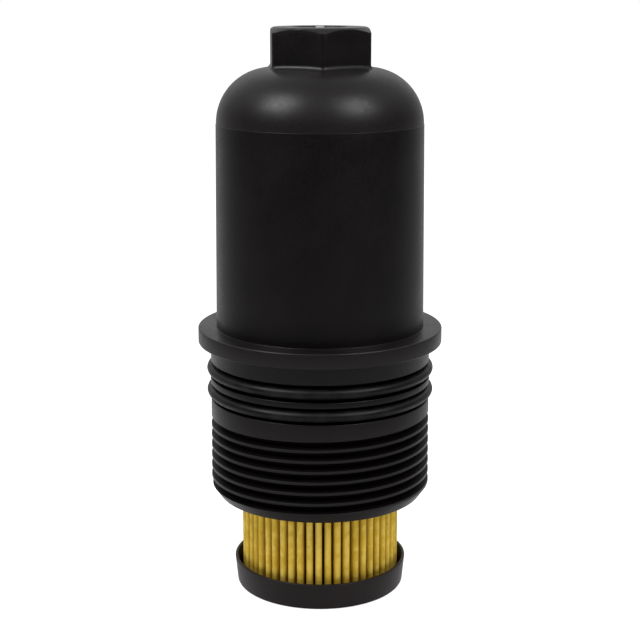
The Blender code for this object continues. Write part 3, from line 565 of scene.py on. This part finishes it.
def head_rings():
    """From the dish in the hexagon's top, over its chamfer and down its faces, to the crown."""
    floor_z = TOP_Z - DISH_DEPTH
    stub_z = TOP_Z + GATE_RISE
    stub_draft, dish_draft = 0.0002, 0.0007
    rings = [(0.0, stub_z)]
    corners = [
        (0.0, stub_z),
        (GATE_RADIUS, stub_z, FINE),
        (GATE_RADIUS + stub_draft, floor_z, CRISP),
        (DISH_RADIUS - dish_draft, floor_z, BROAD),
        (DISH_RADIUS, TOP_Z, 0.00025),
        (HEX_CHAMFER_RADIUS - 0.0010, TOP_Z),
    ]
    rings += rounded(corners, closed=False)[1:]

    def chamfer(share, inset=0.0, down=0.0):
        """A ring on the chamfer: share 0 is its upper edge, 1 its lower one, which dips at the corners."""

        def at(angle):
            reach = (hex_radius(angle) - HEX_CHAMFER_RADIUS) * share
            return (HEX_CHAMFER_RADIUS + reach - inset, TOP_Z - HEX_CHAMFER_SLOPE * reach - down)

        return at

    soft = 0.00015
    rings += [
        chamfer(0.0, inset=soft),
        chamfer(0.0, inset=-soft, down=soft * HEX_CHAMFER_SLOPE),
        chamfer(0.3),
        chamfer(0.6),
        chamfer(0.9),
        chamfer(1.0, inset=soft * 0.3, down=-soft * 0.1),
        chamfer(1.0, down=soft),
    ]

    def wall(share):
        def at(angle):
            foot = chamfer(1.0, down=SOFT)(angle)
            low = crown_height(hex_radius(angle, HEX_FILLET)) + HEX_FILLET
            return (foot[0], foot[1] + (low - foot[1]) * share)

        return at

    rings += [wall(share) for share in (0.2, 0.4, 0.6, 0.8, 0.95, 1.0)]

    def fillet(turn):
        def at(angle):
            grow = HEX_FILLET * (1 - math.cos(turn))
            low = crown_height(hex_radius(angle, HEX_FILLET))
            return (hex_radius(angle, grow), low + HEX_FILLET * (1 - math.sin(turn)))

        return at

    steps = 6
    rings += [fillet(math.pi / 2 * k / steps) for k in range(1, steps + 1)]
    return rings


def dome_rings():
    """From the foot of the hexagon's fillet to the mould line, first blending the hexagon into a circle."""
    circle = 0.0208  # radius at which the rings are round again

    def blend(share):
        def at(angle):
            start = hex_radius(angle, HEX_FILLET)
            radius = start + (circle - start) * share
            return (radius, crown_height(radius))

        return at

    rings = [blend(share) for share in (0.15, 0.4, 0.7, 1.0)]
    first = math.acos((circle - DOME_CENTRE_RADIUS) / DOME_ARC)
    steps = 24
    for k in range(1, steps + 1):
        turn = first * (1 - k / steps)
        radius = DOME_CENTRE_RADIUS + DOME_ARC * math.cos(turn)
        rings.append((radius, CROWN_Z - DOME_ARC + DOME_ARC * math.sin(turn)))
    return rings


def body_rings():
    """From the mould line down the body, over the flange and O-ring grooves, to the skirt's lower edge."""
    dome_foot = BODY_TOP_RADIUS - MOULD_STEP
    step_top, step_foot = BODY_TOP_Z + 0.00018, BODY_TOP_Z + 0.00008
    step_root, step_edge, groove_edge = 0.00004, 0.00006, 0.00022
    body = [
        (dome_foot, BODY_TOP_Z + SOFT),
        (dome_foot, step_top, step_root),
        (BODY_TOP_RADIUS, step_foot, step_edge),
    ]
    steps = 8
    taper_foot = FLANGE_TOP_Z + 0.0008
    for k in range(1, steps):
        share = k / steps
        radius = BODY_TOP_RADIUS + (BODY_FOOT_RADIUS - BODY_TOP_RADIUS) * share
        body.append((radius, BODY_TOP_Z + (taper_foot - BODY_TOP_Z) * share))
    body += [
        (BODY_FOOT_RADIUS, FLANGE_TOP_Z, CRISP),
        (FLANGE_RADIUS, FLANGE_TOP_Z, BROAD),
        (FLANGE_RADIUS, FLANGE_BOTTOM_Z, BROAD),
        (NECK_RADIUS, FLANGE_BOTTOM_Z, WIDE),
    ]
    lands = (NECK_RADIUS, LAND_RADIUS, THREAD_TOP_RADIUS)
    for i, (top, bottom) in enumerate(zip(GROOVE_TOPS, GROOVE_BOTTOMS)):
        body += [
            (lands[i], top, groove_edge),
            (GROOVE_FLOOR_RADIUS, top, SOFT),
            (GROOVE_FLOOR_RADIUS, bottom, SOFT),
            (lands[i + 1], bottom, groove_edge),
        ]
    bore_lead, bore_height = 0.0010, 0.0100
    body += [
        (THREAD_BOTTOM_RADIUS, SKIRT_CHAMFER_Z, WIDE),
        (SKIRT_BOTTOM_RADIUS, SKIRT_Z, SOFT),
        (SKIRT_BORE_RADIUS + bore_lead, SKIRT_Z, CRISP),
        (SKIRT_BORE_RADIUS, SKIRT_Z + bore_lead, SOFT),
        (SKIRT_BORE_RADIUS, SKIRT_Z + bore_height),
    ]
    return rounded(body, closed=False)


def inside_rings():
    """From the skirt's bore up the inner wall with its ribs, past the crown's socket, to the pocket's top."""
    inner_arc = DOME_ARC - CAP_WALL
    arc_z = CROWN_Z - DOME_ARC
    wall_top = DOME_CENTRE_RADIUS + inner_arc

    def wall(radius, height):
        def at(angle):
            return (min(radius, RIB_REACH_RADIUS) if on_rib(angle) else radius, height)

        return at

    def slope(height):
        share = (height - SKIRT_Z) / (arc_z - SKIRT_Z)
        return SKIRT_BORE_RADIUS + (wall_top - SKIRT_BORE_RADIUS) * share

    plain_levels = (0.060, 0.080, RIB_BOTTOM_Z - 0.0004)
    ribbed_levels = (RIB_BOTTOM_Z, RIB_BOTTOM_Z + 0.0006, 0.110, 0.125, 0.140, 0.152)
    rings = [(slope(height), height) for height in plain_levels]
    rings += [wall(slope(height), height) for height in ribbed_levels]
    steps = 12
    under_crown = arc_z + inner_arc
    for k in range(steps + 1):
        turn = math.pi / 2 * k / steps
        radius = DOME_CENTRE_RADIUS + inner_arc * math.cos(turn)
        rings.append(wall(radius, arc_z + inner_arc * math.sin(turn)))
    lip_top = SOCKET_BOTTOM_Z + SOCKET_LIP_HEIGHT
    corners = [
        (DOME_CENTRE_RADIUS, under_crown),
        (SOCKET_OUTER_RADIUS, under_crown),
        (SOCKET_OUTER_RADIUS, SOCKET_BOTTOM_Z, SOFT),
        (SOCKET_LIP_RADIUS, SOCKET_BOTTOM_Z, WIDE),
        (SOCKET_LIP_RADIUS, lip_top, CRISP),
        (SOCKET_BORE_RADIUS, lip_top, CRISP),
        (SOCKET_BORE_RADIUS, under_crown, SOFT),
        (POCKET_RADIUS, under_crown, SOFT),
        (POCKET_RADIUS, POCKET_Z, 0.0006),
        (0.0, POCKET_Z),
    ]
    rings += rounded(corners, closed=False)[1:]
    return rings


def crest_radius(height):
    share = (height - SKIRT_CHAMFER_Z) / (GROOVE_BOTTOMS[1] - SKIRT_CHAMFER_Z)
    return THREAD_BOTTOM_RADIUS + (THREAD_TOP_RADIUS - THREAD_BOTTOM_RADIUS) * share


def thread_groove():
    """The helical groove as a solid: rounded at its mouth and root, and running out at both ends."""
    columns = 144
    steps = round(THREAD_TURNS * columns)
    half = THREAD_GROOVE_WIDTH / 2
    depth = THREAD_BOTTOM_RADIUS - THREAD_ROOT_RADIUS
    above = 0.0012  # how far the cutter stands out of the crests
    side = [  # how far out from the crests, and half the groove's width there
        (above, half + above),
        (0.0, half + 0.00012),
        (-0.00016, half),
        (-depth * 0.5, half - 0.00046),
        (-depth + 0.0004, half - 0.00082),
        (-depth + 0.0001, half - 0.00098),
        (-depth, half - 0.00115),
    ]
    section = side + [(out, -across) for out, across in reversed(side)]
    built = bmesh.new()
    loops = []
    for i in range(steps + 1):
        turn = 2 * math.pi * i / columns
        left = 2 * math.pi * THREAD_TURNS - turn
        fade = min(1.0, turn / THREAD_FADE, left / THREAD_FADE)
        lift = (depth + CRISP) * (1 - math.sin(fade * math.pi / 2))
        middle = THREAD_FIRST_Z + THREAD_PITCH * i / columns
        angle = math.pi / 2 + turn
        loop = []
        for out, across in section:
            height = middle + across
            radius = crest_radius(middle) + max(out + lift, out if out > 0 else -depth)
            loop.append(built.verts.new((radius * math.cos(angle), radius * math.sin(angle), height)))
        loops.append(loop)
    count = len(section)
    for here, there in zip(loops, loops[1:]):
        for k in range(count):
            m = (k + 1) % count
            built.faces.new((here[k], here[m], there[m], there[k]))
    built.faces.new(loops[0])
    built.faces.new(loops[-1])
    bmesh.ops.recalc_face_normals(built, faces=built.faces[:])
    mesh = bpy.data.meshes.new("thread_groove")
    built.to_mesh(mesh)
    built.free()
    return new_object("thread_groove", mesh)


def cap():
    rings = head_rings() + dome_rings() + body_rings()[1:] + inside_rings()
    housing = ring_solid("cap_shell", rings, cap_angles())
    return cut(housing, thread_groove())


def paint_groove_shade(shell, material):
    """Gives the thread's groove a less reflective copy of the cap's material as painted shade, from just
    below the crests to the root.
    """
    shell.data.materials.append(material)
    chamfer_height = SKIRT_CHAMFER_Z - SKIRT_Z
    below_seals, below_crest = 0.0010, 0.00012
    for face in shell.data.polygons:
        radius = math.hypot(face.center.x, face.center.y)
        height = face.center.z
        chamfered = max(0.0, SKIRT_CHAMFER_Z - height) / chamfer_height
        surface = crest_radius(height) - chamfered * (THREAD_BOTTOM_RADIUS - SKIRT_BOTTOM_RADIUS)
        threaded = SKIRT_Z < height < GROOVE_BOTTOMS[1] - below_seals
        if threaded and THREAD_ROOT_RADIUS - SOFT < radius < surface - below_crest:
            face.material_index = 1


# ------ the carrier and the valve


def carrier():
    hook_z = SOCKET_BOTTOM_Z + SOCKET_LIP_HEIGHT + GAP
    shoulder_z = SOCKET_BOTTOM_Z - GAP
    shoulder_foot, stop_top = shoulder_z - SHOULDER, STOP_Z + SHOULDER
    groove_half = SPIGOT_RING_SECTION / 2 + WIDE
    groove_top, groove_foot = SPIGOT_RING_Z + groove_half, SPIGOT_RING_Z - groove_half
    top_z, bottom_z = CARRIER_HIGH.z, CARRIER_LOW.z
    seat_z = SEAT_HIGH.z + GAP
    ledge_radius, inner_radius = SPIGOT_BORE_RADIUS - 0.0014, CARRIER_TUBE_RADIUS - 0.0018
    ledge_top, bore_foot = SEAT_HIGH.z + 0.0018, SEAT_HIGH.z + 0.0028
    hook_height, hook_lead = 0.0008, 0.0004
    tip_height, tip_lead = 0.0010, 0.0007
    groove_edge = 0.00015
    corners = [
        (CARRIER_TUBE_RADIUS - hook_lead, top_z, SOFT),
        (HOOK_RADIUS, hook_z + hook_height, SOFT),
        (HOOK_RADIUS, hook_z, CRISP),
        (CARRIER_TUBE_RADIUS, hook_z, CRISP),
        (CARRIER_TUBE_RADIUS, shoulder_z, SOFT),
        (SHOULDER_RADIUS, shoulder_z, SOFT),
        (SHOULDER_RADIUS, shoulder_foot, SOFT),
        (CARRIER_TUBE_RADIUS, shoulder_foot, WIDE),
        (CARRIER_TUBE_RADIUS, stop_top, WIDE),
        (SHOULDER_RADIUS, stop_top, SOFT),
        (SHOULDER_RADIUS, STOP_Z, SOFT),
        (SPIGOT_RADIUS, STOP_Z, SOFT),
        (SPIGOT_RADIUS, groove_top, groove_edge),
        (SPIGOT_GROOVE_RADIUS, groove_top, groove_edge),
        (SPIGOT_GROOVE_RADIUS, groove_foot, groove_edge),
        (SPIGOT_RADIUS, groove_foot, groove_edge),
        (SPIGOT_RADIUS, bottom_z + tip_height, SOFT),
        (SPIGOT_RADIUS - tip_lead, bottom_z, CRISP),
        (SPIGOT_BORE_RADIUS, bottom_z, CRISP),
        (SPIGOT_BORE_RADIUS, seat_z, FINE),
        (ledge_radius, seat_z, FINE),
        (ledge_radius, ledge_top, SOFT),
        (inner_radius, bore_foot, WIDE),
        (inner_radius, top_z, SOFT),
    ]
    tube = turned("carrier_moulding", corners)
    radius, cutter_depth = 0.0115, 0.0060
    slot_width, slot_top, slot_bottom = 0.0022, top_z + 0.0010, shoulder_z - 0.0006
    slot_height, slot_z = slot_top - slot_bottom, (slot_top + slot_bottom) / 2
    inlet_width, inlet_corner, inlet_margin = 0.0070, 0.0009, 0.0008
    inlet_top = shoulder_foot - inlet_margin
    inlet_bottom = stop_top + inlet_margin
    openings = [
        block((cutter_depth, slot_width, slot_height), round_place(60 * i + 30, radius, slot_z), WIDE)
        for i in range(6)
    ]
    openings += [
        block(
            (cutter_depth, inlet_width, inlet_top - inlet_bottom),
            round_place(60 * i, radius, (inlet_top + inlet_bottom) / 2),
            inlet_corner,
        )
        for i in range(6)
    ]
    return cut(tube, joined("carrier_openings", openings))


def seat():
    outer = SPIGOT_BORE_RADIUS - GAP
    land_width, land_height = 0.0014, 0.0004  # the valve closes on this raised land
    corners = [
        (outer, SEAT_HIGH.z, FINE),
        (outer, SEAT_LOW.z + land_height, FINE),
        (SEAT_HOLE_RADIUS + land_width, SEAT_LOW.z, CRISP),
        (SEAT_HOLE_RADIUS, SEAT_LOW.z, CRISP),
        (SEAT_HOLE_RADIUS, SEAT_HIGH.z, SOFT),
    ]
    return turned("seat_washer", corners)


def valve_seal():
    overlap = 0.0012  # past the land's inner edge
    inner = SEAT_HOLE_RADIUS - overlap
    edges = (CRISP, FINE, FINE, CRISP)
    return sleeve("valve_facing", VALVE_RADIUS, inner, SEAL_HIGH.z, SEAL_LOW.z, edges)


def valve_plate():
    plate_top = SEAL_LOW.z - GAP
    plate_bottom = plate_top - PLATE_THICKNESS
    boss = SPRING_MEAN_RADIUS - SPRING_WIRE / 2 - 0.0006
    boss_height, stem_z, tip = 0.0010, plate_bottom - 0.0014, 0.0005
    hub_radius, hub_foot, hub_height = 0.0030, 0.0038, 0.0010
    corners = [
        (0.0, VALVE_HIGH.z),
        (hub_radius, plate_top + hub_height, SOFT),
        (hub_foot, plate_top, CRISP),
        (VALVE_RADIUS, plate_top, CRISP),
        (VALVE_RADIUS, plate_bottom, CRISP),
        (boss, plate_bottom, CRISP),
        (boss, plate_bottom - boss_height, CRISP),
        (STEM_RADIUS, stem_z, WIDE),
        (STEM_RADIUS, VALVE_LOW.z + tip, CRISP),
        (STEM_RADIUS - tip, VALVE_LOW.z, CRISP),
        (0.0, VALVE_LOW.z),
    ]
    return turned("valve_plate", corners)


def coil():
    """The bypass valve's spring: a helix of wire whose end turns close up and lie flat."""
    dead_turns = 0.75  # at each end
    turns = SPRING_TURNS + 2 * dead_turns
    steps_per_turn = 40
    steps = round(turns * steps_per_turn)
    low, high = SPRING_LOW.z + SPRING_WIRE / 2, SPRING_HIGH.z - SPRING_WIRE / 2
    curve = bpy.data.curves.new("spring_path", "CURVE")
    curve.dimensions = "3D"
    curve.bevel_depth = SPRING_WIRE / 2
    curve.bevel_resolution = 5
    curve.use_fill_caps = True
    spline = curve.splines.new("POLY")
    spline.points.add(steps)
    dead = dead_turns / turns
    closed_rise = SPRING_WIRE * dead_turns
    for i, point in enumerate(spline.points):
        share = i / steps
        angle = 2 * math.pi * turns * share
        if share < dead:
            height = low + closed_rise * share / dead
        elif share > 1 - dead:
            height = high - closed_rise * (1 - share) / dead
        else:
            live = (share - dead) / (1 - 2 * dead)
            height = low + closed_rise + (high - low - 2 * closed_rise) * live
        point.co = (SPRING_MEAN_RADIUS * math.cos(angle), SPRING_MEAN_RADIUS * math.sin(angle), height, 1.0)
    path = new_object("spring_path", curve)
    bpy.context.view_layer.update()
    mesh = bpy.data.meshes.new_from_object(path.evaluated_get(bpy.context.evaluated_depsgraph_get()))
    bpy.data.objects.remove(path)
    built = bmesh.new()
    built.from_mesh(mesh)
    bmesh.ops.remove_doubles(built, verts=built.verts, dist=0.000001)
    built.to_mesh(mesh)
    built.free()
    return finish_surface(new_object("coil_spring", mesh))


def retainer():
    top, bottom = RETAINER_HIGH.z, RETAINER_LOW.z
    outer, inner = SPIGOT_BORE_RADIUS - GAP, STEM_RADIUS + 0.0004
    ring = sleeve("retainer_moulding", outer, inner, top, bottom, (CRISP, SOFT, CRISP, CRISP))
    port_size, port_radius = (0.0020, 0.0030, 0.0040), 0.0050
    ports = [block(port_size, round_place(60 * i, port_radius, (top + bottom) / 2), WIDE) for i in range(6)]
    return cut(ring, joined("retainer_ports", ports))


# ------ the element


def upper_cap():
    inner = UPPER_CAP_HIGH.x - END_CAP_WALL
    rim_z = UPPER_CAP_LOW.z
    top = UPPER_CAP_HIGH.z
    collar_foot = rim_z + 0.0009
    lead = 0.0006  # the chamfer that guides the carrier's ring in
    corners = [
        (COLLAR_RADIUS, top, BROAD),
        (COLLAR_RADIUS, UPPER_DISC_Z, BROAD),
        (UPPER_CAP_HIGH.x, UPPER_DISC_Z, 0.0008),
        (UPPER_CAP_HIGH.x, rim_z, SOFT),
        (inner, rim_z, SOFT),
        (inner, UPPER_DISC_Z - END_CAP_FLOOR, CRISP),
        (COLLAR_RADIUS, UPPER_DISC_Z - END_CAP_FLOOR, CRISP),
        (COLLAR_RADIUS, collar_foot, CRISP),
        (COLLAR_BORE_RADIUS, collar_foot, CRISP),
        (COLLAR_BORE_RADIUS, top - lead, CRISP),
        (COLLAR_BORE_RADIUS + lead, top, CRISP),
    ]
    return turned("upper_cap_moulding", corners, ROUND)


def lower_cap():
    rim = LOWER_CAP_RADIUS
    corners = [
        (rim, LOWER_RIM_Z, SOFT),
        (LOWER_BASE_RADIUS, 0.0, 0.0009),
        (OUTLET_RADIUS, 0.0, SOFT),
        (OUTLET_RADIUS, OUTLET_LIP, CRISP),
        (SEAL_SEAT_RADIUS, OUTLET_LIP, CRISP),
        (SEAL_SEAT_RADIUS, LOWER_COLLAR_Z, SOFT),
        (COLLAR_RADIUS, LOWER_COLLAR_Z, SOFT),
        (COLLAR_RADIUS, END_CAP_FLOOR, CRISP),
        (LOWER_BASE_RADIUS - END_CAP_WALL, END_CAP_FLOOR, CRISP),
        (rim - END_CAP_WALL, LOWER_RIM_Z, SOFT),
    ]
    return turned("lower_cap_moulding", corners, ROUND)


def outlet_seal():
    outer = SEAL_SEAT_RADIUS - GAP
    top, bottom = OUTLET_SEAL_HIGH.z, OUTLET_SEAL_LOW.z
    lead, relief = 0.0012, 0.0008
    corners = [
        (outer, top, SOFT),
        (outer, bottom, SOFT),
        (SEAL_BORE_RADIUS + lead, bottom, SOFT),
        (SEAL_BORE_RADIUS, bottom + lead, WIDE),
        (SEAL_BORE_RADIUS, top - relief, WIDE),
        (SEAL_BORE_RADIUS + relief, top, SOFT),
    ]
    return turned("outlet_seal", corners)


def core_tube():
    bottom, top = TUBE_LOW.z, TUBE_HIGH.z
    tube = sleeve("core_tube", COLLAR_RADIUS, TUBE_BORE_RADIUS, top, bottom, [SOFT] * 4)
    columns, rows = 6, 6
    window_depth, window_width, window_corner = 0.0060, 0.0090, 0.0012
    bar, end_band = 0.0040, 0.0030
    pitch = (top - bottom - 2 * end_band) / rows
    middle = (COLLAR_RADIUS + TUBE_BORE_RADIUS) / 2
    windows = [
        block(
            (window_depth, window_width, pitch - bar),
            round_place(360 * column / columns, middle, bottom + end_band + (row + 0.5) * pitch),
            window_corner,
        )
        for row in range(rows)
        for column in range(columns)
    ]
    return cut(tube, joined("tube_windows", windows))


def bond(name, node):
    """A ring of adhesive that fills an end cap's rim."""
    low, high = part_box(node)
    return sleeve(name, high.x, COLLAR_RADIUS + GAP, high.z, low.z, [CRISP] * 4, ROUND)


def pleat_path():
    """The paper's middle line seen from above, as (x, y) points: a fold out, a fold in, all round."""
    pitch = 2 * math.pi / PLEAT_COUNT
    tip_fold = (PLEAT_TIP_WIDTH - PAPER) / 2
    fold_steps, flank_steps = 6, 5
    most_lean, most_short = 0.16 * pitch, 0.00022

    def place(angle, along, across):
        c, s = math.cos(angle), math.sin(angle)
        return Vector((along * c - across * s, along * s + across * c))

    def outer_fold(i):
        """A fold at the outside, each leaning and reaching out a little differently."""
        lean = most_lean * noise.noise(Vector((i * 1.7, 3.1, 0.0)))
        short = max(0.0, most_short * (0.5 + noise.noise(Vector((i * 2.3, 7.7, 0.0)))))
        angle = (i + PLEAT_PHASE) * pitch + lean
        radius = MEDIA_OUTER_RADIUS - PAPER / 2 - tip_fold - short
        turns = [math.pi * (k / fold_steps - 0.5) for k in range(fold_steps + 1)]
        return [place(angle, radius + tip_fold * math.cos(t), tip_fold * math.sin(t)) for t in turns]

    def inner_fold(i):
        """A fold at the inside; the one with the seam is wider and stops short."""
        seam = i == SEAM_PLEAT
        fold = (SEAM_HALF_WIDTH if seam else PLEAT_VALLEY_WIDTH / 2) + PAPER / 2
        floor = (SEAM_FLOOR_RADIUS if seam else MEDIA_INNER_RADIUS + PAPER) - PAPER / 2
        angle = (i + PLEAT_PHASE + 0.5) * pitch
        turns = [math.pi * k / fold_steps for k in range(fold_steps + 1)]
        return [place(angle, floor + fold * (1 - math.sin(t)), -fold * math.cos(t)) for t in turns]

    def flank(start, end):
        return [start.lerp(end, k / flank_steps) for k in range(1, flank_steps)]

    points = []
    for i in range(PLEAT_COUNT):
        tip, valley, following = outer_fold(i), inner_fold(i), outer_fold((i + 1) % PLEAT_COUNT)
        points += tip + flank(tip[-1], valley[0]) + valley + flank(valley[-1], following[0])
    return points


def media():
    """The pleated paper: a sheet of real thickness along the path, a little wavy up its height."""
    path = pleat_path()
    count = len(path)
    normals = []
    for i in range(count):
        along = (path[(i + 1) % count] - path[i - 1]).normalized()
        normals.append(Vector((along.y, -along.x)))
    levels = 25
    half = PAPER / 2 - 0.00001  # a hair thinner than the CAD's paper
    pleat_depth = MEDIA_OUTER_RADIUS - MEDIA_INNER_RADIUS
    widest_sway = 0.00016
    built = bmesh.new()
    rows = []
    for level in range(levels):
        share = level / (levels - 1)
        height = MEDIA_LOW.z + (MEDIA_HIGH.z - MEDIA_LOW.z) * share
        row = []
        for side in (1, -1):
            loop = []
            for point, normal in zip(path, normals):
                radius = point.length
                sway = noise.noise(Vector((math.atan2(point.y, point.x) * 9, height * 28, 5.0)))
                swing = widest_sway * sway * (radius - MEDIA_INNER_RADIUS) / pleat_depth
                place = point + normal * half * side
                across = Vector((-point.y, point.x)) / radius
                place = place + across * swing
                loop.append(built.verts.new((place.x, place.y, height)))
            row.append(loop)
        rows.append(row)
    for lower, upper in zip(rows, rows[1:]):
        for j in range(count):
            k = (j + 1) % count
            built.faces.new((lower[0][j], lower[0][k], upper[0][k], upper[0][j]))
            built.faces.new((lower[1][k], lower[1][j], upper[1][j], upper[1][k]))
    for j in range(count):
        k = (j + 1) % count
        built.faces.new((rows[-1][0][j], rows[-1][0][k], rows[-1][1][k], rows[-1][1][j]))
        built.faces.new((rows[0][0][k], rows[0][0][j], rows[0][1][j], rows[0][1][k]))
    mesh = bpy.data.meshes.new("pleated_paper")
    built.to_mesh(mesh)
    built.free()
    return finish_surface(new_object("pleated_paper", mesh))


def seam_clip():
    """The crimped metal strip that joins the paper's two ends."""
    thickness, corner = 0.0006, 0.00018
    radius = MEDIA_OUTER_RADIUS - GAP - SEAM_STRIP_DEPTH / 2
    angle = (SEAM_PLEAT + PLEAT_PHASE + 0.5) * 360 / PLEAT_COUNT
    height = MEDIA_HIGH.z - MEDIA_LOW.z
    middle = (MEDIA_HIGH.z + MEDIA_LOW.z) / 2
    strip = block((SEAM_STRIP_DEPTH, thickness, height), round_place(angle, radius, middle), corner)
    return finish_surface(joined("seam_clip", [strip]))


# ------ everything together


def dress(obj, material, body, node):
    """Gives a piece its material and slot, lets it ride on its body and stand for its CAD node."""
    obj.data.materials.clear()
    obj.data.materials.append(material)
    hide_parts(node)
    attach(obj, body)
    return obj


def floor():
    """A plain pale floor. It lights the object's matt surfaces, but the plastic doesn't mirror it."""
    bpy.ops.mesh.primitive_plane_add(size=12.0, location=(0.0, 0.0, -0.0001))
    plane = bpy.context.object
    plane.name = "floor"
    n = Nodes("pale_floor")
    speck = n.noise(40.0)
    white = n.mix(n.spread(speck, 0.3, 0.7), (0.90, 0.90, 0.90), (0.93, 0.93, 0.93))
    n.surface(white, roughness=0.9, specular=0.1)
    n.shader.inputs["Emission Color"].default_value = (1.0, 1.0, 1.0, 1.0)
    n.shader.inputs["Emission Strength"].default_value = 0.78
    plane.data.materials.append(n.material)
    plane.visible_glossy = False


def surround():
    """A white room, dim in front of the object and brighter behind, above and below it."""
    world = bpy.data.worlds.new("surround")
    bpy.context.scene.world = world
    world.use_nodes = True
    tree = world.node_tree
    tree.nodes.clear()

    def link(a, b):
        tree.links.new(a, b)

    def ramp(value, low, high, strength):
        node = tree.nodes.new("ShaderNodeMapRange")
        node.interpolation_type = "SMOOTHSTEP"
        link(value, node.inputs["Value"])
        for key, number in (("From Min", low), ("From Max", high), ("To Min", 0.0), ("To Max", strength)):
            node.inputs[key].default_value = number
        return node.outputs["Result"]

    def added(a, b):
        node = tree.nodes.new("ShaderNodeMath")
        link(a, node.inputs[0])
        link(b, node.inputs[1])
        return node.outputs["Value"]

    direction = tree.nodes.new("ShaderNodeTexCoord")
    split = tree.nodes.new("ShaderNodeSeparateXYZ")
    link(direction.outputs["Generated"], split.inputs["Vector"])
    right, behind, up = split.outputs
    back = added(ramp(behind, -0.20, 0.80, 0.28), ramp(behind, 0.55, 0.98, 0.46))
    sides = added(ramp(right, -0.10, -0.90, 0.035), ramp(right, 0.10, 0.90, 0.04))
    above_and_below = added(ramp(up, 0.10, 0.75, 0.38), ramp(up, -0.12, -0.38, 0.56))
    dark_bench = ramp(up, -0.50, -0.85, -0.42)
    total = added(added(back, sides), added(above_and_below, dark_bench))
    glow = tree.nodes.new("ShaderNodeBackground")
    link(total, glow.inputs["Strength"])
    backdrop = tree.nodes.new("ShaderNodeBackground")
    backdrop.inputs["Color"].default_value = (1.0, 1.0, 1.0, 1.0)
    seen = tree.nodes.new("ShaderNodeLightPath")
    choose = tree.nodes.new("ShaderNodeMixShader")
    link(seen.outputs["Is Camera Ray"], choose.inputs[0])
    link(glow.outputs[0], choose.inputs[1])
    link(backdrop.outputs[0], choose.inputs[2])
    output = tree.nodes.new("ShaderNodeOutputWorld")
    link(choose.outputs[0], output.inputs["Surface"])


def soft_box(name, azimuth, elevation, size, power):
    """A square soft light one metre from the object; azimuth 0 is in front and 90 on the right."""
    light = bpy.data.lights.new(name, "AREA")
    light.shape = "SQUARE"
    light.size = size
    light.energy = power
    lamp = bpy.data.objects.new(name, light)
    bpy.context.scene.collection.objects.link(lamp)
    a, e = math.radians(azimuth), math.radians(elevation)
    towards = Vector((math.sin(a) * math.cos(e), -math.cos(a) * math.cos(e), math.sin(e)))
    lamp.location = Vector((0.0, 0.0, 0.13)) + towards
    lamp.rotation_mode = "QUATERNION"
    lamp.rotation_quaternion = towards.to_track_quat("Z", "Y")


def viewpoint():
    """A long lens just above the cap's flange, turned a little from the hexagon's corner."""
    data = bpy.data.cameras.new("camera")
    data.lens = 81.4
    data.sensor_width = 36.0
    data.clip_start = 0.01
    camera = bpy.data.objects.new("camera", data)
    bpy.context.scene.collection.objects.link(camera)
    camera.location = (-0.0300, -0.4771, 0.2050)
    camera.rotation_euler = (math.radians(76.8), 0.0, math.radians(-3.6))
    bpy.context.scene.camera = camera


jet, worn_jet = (0.0022, 0.0008, 0.0012), (0.0060, 0.0044, 0.0048)
black_nylon = moulded_plastic("black_nylon", jet, worn_jet, 0.375, marks=cap_marks)
# Painted shade: the same black nylon with far weaker reflection, for the thread's groove
groove_nylon_painted_shade = moulded_plastic("groove_nylon_painted_shade", jet, worn_jet, 0.50, specular=0.12)
cap_nylon = moulded_plastic("end_cap_nylon", (0.0085, 0.0040, 0.0048), (0.016, 0.012, 0.011), 0.46)
grey_nylon = moulded_plastic("grey_nylon", (0.070, 0.068, 0.066), (0.12, 0.117, 0.112), 0.48)
black_rubber = rubber("black_rubber", (0.0030, 0.0025, 0.0026), 0.40, specular=0.38)
yellow_paper = paper()
amber = resin()
spring_steel = steel("spring_steel", (0.50, 0.49, 0.47), (300.0, 300.0, 1600.0))
plated_steel = steel("plated_steel", (0.58, 0.57, 0.54), (1400.0, 240.0, 900.0))

shell = dress(cap(), black_nylon, "cap", "cap_housing")
paint_groove_shade(shell, groove_nylon_painted_shade)
ring_radius = GROOVE_FLOOR_RADIUS + GAP + O_RING_SECTION / 2
for label, top, bottom in zip(("upper", "lower"), GROOVE_TOPS, GROOVE_BOTTOMS):
    seal = o_ring(f"{label}_seal", ring_radius, O_RING_SECTION, (top + bottom) / 2)
    dress(seal, black_rubber, "cap", f"{label}_o_ring")

dress(carrier(), grey_nylon, "carrier", "valve_carrier")
small_ring = SPIGOT_GROOVE_RADIUS + GAP + SPIGOT_RING_SECTION / 2
spigot_seal = o_ring("spigot_seal", small_ring, SPIGOT_RING_SECTION, SPIGOT_RING_Z, SMALL_ROUND, 0.00002)
dress(spigot_seal, black_rubber, "carrier", "carrier_o_ring")
dress(seat(), plated_steel, "carrier", "valve_seat_ring")
dress(retainer(), grey_nylon, "carrier", "spring_retainer")
dress(valve_plate(), grey_nylon, "valve", "bypass_valve_plate")
dress(valve_seal(), black_rubber, "valve", "bypass_valve_seal")
spring = dress(coil(), spring_steel, "carrier", "bypass_spring")
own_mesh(spring)

dress(upper_cap(), cap_nylon, "element", "upper_end_cap")
dress(lower_cap(), cap_nylon, "element", "lower_end_cap")
dress(outlet_seal(), black_rubber, "element", "outlet_seal_ring")
dress(core_tube(), grey_nylon, "element", "centre_tube")
for label in ("upper", "lower"):
    node = f"{label}_adhesive"
    dress(bond(f"{label}_bond", node), amber, "element", node)
dress(media(), yellow_paper, "element", "pleated_media")
dress(seam_clip(), spring_steel, "element", "media_seam_strip")

floor()
surround()
soft_box("soft_box_left", azimuth=-61, elevation=46, size=0.42, power=3.9)
soft_box("soft_box_right", azimuth=46, elevation=43, size=0.44, power=3.0)
viewpoint()
bpy.context.scene.view_settings.view_transform = "Standard"
